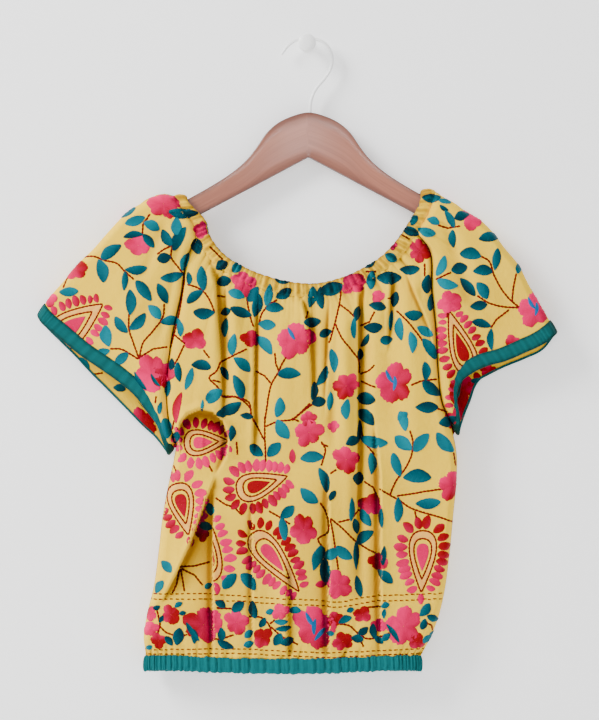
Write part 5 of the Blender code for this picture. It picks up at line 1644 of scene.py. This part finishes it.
FLOWERS = (
    # across, down, radius, petals, turn in degrees, how pink, heart: 0 none, 1 leaf, 2 to 4 blue stamens
    (244.2, 284.3, 13.4, 5, 10, 0.8, 0), (195.4, 339.7, 11.9, 4, 60, 0.35, 0),
    (251.1, 338.8, 9.9, 4, 80, 0.2, 0), (295.5, 340.3, 19.1, 5, 20, 0.75, 2),
    (353.2, 283.3, 12.6, 4, 40, 0.75, 0), (377.5, 297.1, 7.3, 3, 0, 0.9, 0),
    (345.6, 385.7, 13.8, 6, 0, 0.35, 0), (393.4, 383.2, 19.9, 5, 25, 0.45, 3),
    (419.2, 251.7, 11.9, 6, 30, 0.2, 0), (163.8, 375.1, 13.4, 5, 0, 0.2, 1),
    (201.1, 230.7, 8.4, 4, 70, 0.8, 0), (392.4, 246, 5, 4, 0, 0.8, 0),
    (308.3, 418.2, 8.4, 5, 20, 0.4, 0), (308.8, 431.8, 15, 5, 20, 0.6, 0),
    (303.3, 528.7, 15, 5, 50, 0.4, 0), (151.2, 612.3, 7.5, 4, 70, 0.5, 0),
    (151.6, 627.1, 8.3, 4, 20, 0.8, 0), (171.8, 613.3, 10.3, 4, 30, 0.1, 0),
    (204, 623.2, 19.4, 5, 80, 0.35, 1), (237, 620.4, 13, 5, 10, 0.7, 0),
    (262.7, 635.8, 10.7, 4, 45, 0, 0), (159.1, 639, 8.7, 4, 10, 0, 0),
    (280.5, 609.7, 9.1, 4, 20, 0.9, 0), (314.7, 625.2, 22.1, 5, 10, 0.7, 4),
    (202.6, 533.8, 7.5, 4, 10, 0.1, 0), (214.5, 614.3, 7.1, 4, 0, 0.8, 0),
    (164.5, 204.9, 16.1, 5, 15, 0.6, 0), (139, 246, 12.2, 4, 80, 0.85, 0),
    (77.4, 269.9, 11.5, 4, 40, 0.3, 0), (50.6, 299, 8.4, 4, 10, 0.8, 0),
    (152, 374.2, 18.8, 5, 50, 0.8, 1), (141.7, 424, 15.3, 5, 30, 0.1, 0),
    (345.8, 459.1, 14.2, 5, 10, 0.5, 0), (333.2, 425.9, 6.3, 4, 0, 0.9, 0),
    (369.9, 504.2, 12.3, 4, 60, 0.4, 0), (452.2, 484.4, 15.4, 5, 20, 0.4, 0),
    (338.3, 583.2, 14.6, 5, 30, 0.65, 0), (377.8, 560.3, 9.9, 4, 80, 0.2, 0),
    (334.7, 616.9, 8.3, 4, 20, 0, 0), (342.4, 639.4, 10.7, 5, 40, 0, 0),
    (362, 612.9, 9.1, 4, 60, 0.1, 0), (378.6, 623.6, 7.9, 4, 80, 0.8, 0),
    (402.7, 624.4, 19.4, 5, 25, 0.75, 1), (416.2, 639.4, 9.1, 4, 50, 0, 0),
    (470.7, 220.6, 11.5, 3, 10, 0.9, 0), (534.6, 309.4, 18.4, 5, 20, 0.8, 3),
    (512, 342.6, 8.4, 4, 10, 0.2, 0), (489.5, 371.4, 8, 4, 20, 0.05, 0),
    (448.9, 302.5, 12.6, 5, 40, 0.8, 0), (461.3, 390.5, 15.3, 5, 0, 0, 0),
    (464.2, 409.6, 12.6, 5, 40, 0.1, 0),
)
VINES = (
    # places that a stem passes, across and down
    ((188, 285), (198, 288), (205, 293), (211, 302), (215, 312)), ((210, 247), (217, 254), (223, 260)),
    ((217, 296), (226, 297)), ((247, 298), (249, 310), (252, 322), (254, 327)),
    ((277, 300), (267, 307), (262, 314), (259, 325)),
    ((341, 283), (340, 299), (336, 318), (332, 333), (329, 343)), ((340, 305), (348, 311), (355, 318)),
    ((335, 324), (342, 339), (351, 350), (359, 362), (359, 373)), ((360, 326), (369, 322), (374, 312)),
    ((308, 311), (306, 319)), ((221, 362), (233, 356), (247, 349)),
    ((275, 353), (276, 364), (279, 371)),
    ((287, 356), (282, 364), (278, 373), (272, 383), (269, 394), (267, 408), (265, 420)),
    ((256, 371), (265, 376), (271, 383)),
    ((221, 362), (217, 371), (210, 377), (219, 388), (223, 396), (237, 397), (244, 401), (251, 408)),
    ((213, 380), (221, 382)), ((310, 403), (302, 411), (292, 420)), ((204, 350), (210, 358)),
    ((175, 335), (186, 344)), ((185, 345), (179, 358), (171, 371)),
    ((360, 374), (368, 371), (374, 365)), ((361, 381), (369, 385), (375, 387)),
    ((410, 385), (420, 381), (436, 379)), ((396, 311), (407, 322), (416, 333), (422, 341)),
    ((436, 408), (445, 411)), ((424, 264), (424, 277)), ((365, 272), (376, 272)),
    ((401, 235), (409, 240)), ((387, 299), (391, 298)),
    ((223, 396), (239, 397), (249, 402), (252, 416), (258, 427), (264, 439)),
    ((265, 416), (265, 439), (266, 461)), ((266, 426), (278, 421), (292, 419), (304, 410), (312, 404)),
    ((292, 418), (299, 421)), ((237, 441), (238, 454)),
    ((321, 441), (325, 448), (323, 459), (321, 465)), ((174, 465), (178, 473)),
    ((207, 461), (213, 471)), ((216, 497), (225, 503), (235, 507), (242, 514)),
    ((269, 510), (278, 515), (290, 523)), ((180, 566), (195, 565), (210, 561)),
    ((181, 568), (183, 578), (185, 590)), ((182, 568), (195, 574), (203, 584)),
    ((180, 569), (177, 584), (173, 592)), ((217, 606), (231, 607), (239, 610)),
    ((249, 615), (262, 616), (270, 625), (271, 633)), ((271, 625), (282, 635), (298, 643)),
    ((211, 637), (223, 637), (234, 633)), ((160, 624), (167, 631), (179, 635)),
    ((161, 619), (173, 616)), ((270, 622), (275, 618)), ((158, 609), (161, 623), (158, 635)),
    ((179, 635), (188, 633)), ((83, 257), (95, 257), (106, 261), (118, 264), (125, 271), (135, 280)),
    ((64, 288), (68, 278)), ((151, 215), (144, 225), (143, 237)),
    ((173, 246), (172, 258), (179, 268), (184, 275), (183, 293), (180, 312), (175, 333), (171, 348)),
    ((158, 255), (165, 250), (173, 246)), ((130, 314), (130, 329), (135, 345), (140, 359)),
    ((165, 304), (164, 316), (154, 331), (144, 343), (140, 359)),
    ((111, 349), (121, 349), (131, 354), (139, 359)), ((141, 357), (154, 349), (168, 347)),
    ((88, 375), (102, 373)), ((156, 403), (157, 396)), ((173, 429), (175, 420)),
    ((409, 430), (412, 441), (411, 453), (405, 467), (396, 479), (389, 494)),
    ((379, 488), (389, 494), (398, 499), (410, 507), (424, 512), (438, 516), (452, 521)),
    ((396, 495), (410, 493), (428, 490), (444, 488)), ((414, 510), (416, 519)),
    ((453, 452), (455, 465)), ((436, 408), (447, 412)), ((361, 431), (365, 443), (374, 454)),
    ((364, 481), (373, 487), (377, 497)), ((338, 521), (351, 518), (359, 509)),
    ((330, 517), (343, 528), (355, 540), (367, 548), (375, 552)),
    ((330, 518), (333, 534), (336, 554), (338, 568)),
    ((320, 502), (325, 510), (328, 520), (327, 532), (318, 538), (323, 548), (325, 554)),
    ((330, 473), (336, 469)), ((321, 443), (328, 446)),
    ((328, 623), (339, 622), (349, 624), (357, 631), (367, 637), (379, 635), (389, 631)),
    ((367, 606), (380, 605)), ((424, 620), (431, 624), (432, 629)), ((359, 635), (363, 645)),
    ((480, 257), (487, 261), (493, 276), (500, 289), (510, 301), (519, 308)),
    ((515, 274), (512, 289), (511, 302)), ((476, 296), (487, 303), (502, 307), (519, 308)),
    ((490, 328), (495, 320), (508, 310)), ((435, 280), (441, 277), (450, 273)),
    ((437, 226), (447, 229), (459, 227)), ((447, 305), (446, 318)), ((433, 195), (435, 203)),
)
PAISLEYS = (
    # across, down, length, width, way of the tip, bend, pink core, pink petals, petals, petal length,
    # and the line across that the cloth on its left hides it up to
    (206.4, 441.8, 43, 25.5, 3, 0, 0.9, 0.7, 18, 11.5, 0),
    (183.5, 508, 52, 26, 283, 0, 0.1, 0.6, 19, 12, 0),
    (262.5, 484.5, 52, 27, 12, 0.07, 0, 0.5, 22, 12, 0),
    (277, 560, 74, 26.5, 312, -0.05, 0.7, 0.3, 26, 11.5, 0),
    (421.5, 560, 61, 27, 268, 0, 0.8, 0.4, 21, 12.5, 0),
    (209, 547, 66, 26, 92, 0, 0.3, 0.9, 19, 12, 213.5),
    (78, 322, 62, 34, 40, -0.05, 0.6, 0.7, 22, 11, 0),
    (458, 343, 66, 25, 112, -0.04, 0, 0.3, 22, 11, 0), (464, 402, 44, 22, 100, 0, 0, 0.1, 14, 9.5, 0),
)
BUDS = (
    # across, down, length, width, way of the tip in degrees, how pink
    (179.8, 407.5, 29, 8, 80, 0.2), (292.5, 455.5, 13, 6.5, 92, 0.4), (321, 582.5, 11, 7, 15, 0.3),
)
STITCH_ROWS = (
    # share of the way across, down, for a row of running stitch
    ((0, 592.6), (0.22, 592.6), (0.42, 596.5), (0.64, 600.4), (0.78, 593.5), (1, 592)),
    ((0, 597.7), (0.22, 597.9), (0.42, 601.8), (0.64, 605.4), (0.78, 598.8), (1, 597.2)),
    ((0, 648.7), (0.3, 647), (0.6, 651.5), (0.8, 648.8), (1, 647.2)),
    ((0, 653.4), (0.3, 651.6), (0.6, 656.2), (0.8, 653.4), (1, 651.8)),
)
ROW_LEFT, ROW_RIGHT = 143.0, 447.0
DASH, DASH_EVERY, DASH_WIDTH = 3.6, 5.9, 1.6

for across, down, length, width, degrees, bright in LEAVES:
    satin_leaf("leaves", *place(across, down), length * PIXEL, width * PIXEL, degrees, bright)
for across, down, radius, petals, degrees, pink, heart in FLOWERS:
    x, z = place(across, down)
    size = radius * PIXEL
    satin_flower(x, z, size, petals, degrees, pink)
    if heart == 1:
        satin_leaf("leaves", x - 0.55 * size, z - 0.35 * size, 1.1 * size, 0.3 * size, 305, 0.2, rise=0.9)
    for k in range(heart - 1):
        spot = x + (k - 1) * 0.22 * size, z - (k - 1) * 0.34 * size
        satin_leaf("blue", *spot, 0.7 * size, 0.22 * size, 300 - 35 * k, 0.5, rise=0.95)
for across, down, length, width, degrees, pink in BUDS:
    satin_leaf("petals", *place(across, down), length * PIXEL, width * PIXEL, degrees, pink)
for passed in VINES:
    stem("stems", [place(*p) for p in passed], VINE_WIDTH)
for across, down, length, width, degrees, bend, core, pink, petals, petal_length, hidden in PAISLEYS:
    before = {basket: len(patches) for basket, patches in baskets.items()}
    size = length * PIXEL, width * PIXEL
    paisley(*place(across, down), *size, degrees, bend, core, pink, petals, petal_length * PIXEL)
    for basket, patches in baskets.items():
        for points, *_ in patches[before.get(basket, 0):]:
            points[points[..., 0] < place(hidden, 0)[0]] = np.nan
for row in STITCH_ROWS:
    shares, heights = np.array(row).T
    across = np.arange(ROW_LEFT, ROW_RIGHT, DASH_EVERY / PIXEL)
    across = across + chance.uniform(-0.4, 0.4, len(across))
    down = np.interp((across - ROW_LEFT) / (ROW_RIGHT - ROW_LEFT), shares, heights)
    down = down + chance.uniform(-0.3, 0.3, len(across))
    for a, b in zip(across, down):
        x, z = place(a, b)
        length = DASH * chance.uniform(0.8, 1.15)
        lean = chance.uniform(-0.35, 0.35)
        dash = [(x, z), (x + length / 2, z + lean / 2), (x + length, z + lean)]
        stem("stems", dash, DASH_WIDTH, step=0.9, jitter=0.0)
print({basket: len(patches) for basket, patches in baskets.items()})

# %% [markdown]
# ## Sewing the patches on
#
# All the embroidered cloth together is what a ray can hit. A point that misses the cloth at its edge
# is drawn back towards the middle of its patch until it hits. The motifs of the back can't be seen
# in the photograph: the same embroidery is repeated there, turned round.

# %% Press the patches onto the cloth
def cloth_tree(pieces):
    """A tree of faces for rays, from the meshes of the pieces, and the shade painted on each of the faces.
    """
    points, faces, face_shade, start = [], [], [], 0
    for piece in pieces:
        mesh = piece.data
        shade = np.empty(len(mesh.vertices))
        mesh.attributes["painted_shade"].data.foreach_get("value", shade)
        face_shade.extend(shade[face.vertices[0]] for face in mesh.polygons)
        flat = np.empty(len(mesh.vertices) * 3)
        mesh.vertices.foreach_get("co", flat)
        points.append(flat.reshape(-1, 3))
        faces += [tuple(start + v for v in face.vertices) for face in mesh.polygons]
        start += len(mesh.vertices)
    return BVHTree.FromPolygons(np.concatenate(points).tolist(), faces), face_shade


TREE, FACE_SHADE = cloth_tree([front, back, sleeves["left"], sleeves["right"], neck_band])
RAY_FROM = 0.2  # metres in front of the wall, or behind it for the back
MIRROR_X = -8.0  # the back has the front's embroidery turned round this line
PULLS = 7  # how often a point that misses is tried again, a twelfth of its way further in each time
MISSED_HEIGHT = -0.2
DEEPEST_STEP = 12.0  # no thread spans a deeper step in the cloth than this


def pressed(points, height, way):
    """The places on the cloth of a patch's flat points, which of them hit it, and how much shade is painted
    on the cloth there.

    way is 1 for the front and -1 for the back.
    """
    placed = np.zeros((*height.shape, 3))
    hit, shade = np.zeros(height.shape, bool), np.zeros(height.shape)
    centre = np.zeros(2) if np.isnan(points).all() else np.nanmean(points.reshape(-1, 2), axis=0)
    for r, c in np.argwhere(~np.isnan(points[..., 0])):
        for pull in range(PULLS):
            x, z = points[r, c] + (centre - points[r, c]) * (pull / 12)
            x = x if way == 1 else 2 * MIRROR_X - x
            start = Vector((x * MM, -RAY_FROM * way, z * MM))
            spot, normal, face, _ = TREE.ray_cast(start, Vector((0.0, way, 0.0)))
            if spot is not None:
                normal = normal if normal.y * way < 0 else -normal
                lift = height[r, c] if pull == 0 else MISSED_HEIGHT
                placed[r, c] = spot / MM + normal * lift
                hit[r, c] = True
                shade[r, c] = FACE_SHADE[face]
                break
    return placed, hit, shade


def sew(name, thread, material):
    """One object from all the patches of a thread, on the front and on the back."""
    points, faces, uv, tints, shades, start = [], [], [], [], [], 0
    for way in (1, -1):
        for flat, height, stitch, tint in baskets[thread]:
            placed, hit, shade = pressed(flat, height, way)
            rows, columns = height.shape
            grid = start + np.arange(rows * columns).reshape(rows, columns)
            for r in range(rows - 1):
                for c in range(columns - 1):
                    corner = ((r, c), (r, c + 1), (r + 1, c + 1), (r + 1, c))
                    depth = [placed[k][1] for k in corner]
                    if all(hit[k] for k in corner) and max(depth) - min(depth) < DEEPEST_STEP:
                        faces.append([int(grid[k]) for k in corner])
                        uv += [stitch[k] * MM for k in corner]
            points.append(placed.reshape(-1, 3))
            tints.append(tint.reshape(-1))
            shades.append(shade.reshape(-1))
            start += rows * columns
    sewn = new_piece(name, np.concatenate(points), faces)
    mesh = sewn.data
    mesh.uv_layers.new(name="stitch").data.foreach_set("uv", np.array(uv).reshape(-1))
    store(mesh, "tint", np.concatenate(tints))
    # Painted shade: the threads take the painted shade of the cloth under them
    store(mesh, "painted_shade", np.concatenate(shades))
    tidy = bmesh.new()
    tidy.from_mesh(mesh)
    bmesh.ops.delete(tidy, geom=[v for v in tidy.verts if not v.link_faces], context="VERTS")
    for face in tidy.faces:
        centre = face.calc_center_median()
        _, normal, _, _ = TREE.find_nearest(centre)
        if normal is not None and face.normal.dot(normal) < 0:
            face.normal_flip()
    tidy.to_mesh(mesh)
    tidy.free()
    mesh.materials.append(material)
    print(name, "faces:", len(mesh.polygons))
    return dressed(sewn, "embroidered_cotton")


sew("embroidered_leaves", "leaves", LEAF_THREAD)
sew("embroidered_petals", "petals", PETAL_THREAD)
sew("embroidered_stems", "stems", STEM_THREAD)
sew("embroidered_peach_rings", "peach", PEACH_THREAD)
sew("embroidered_blue_stamens", "blue", BLUE_THREAD)
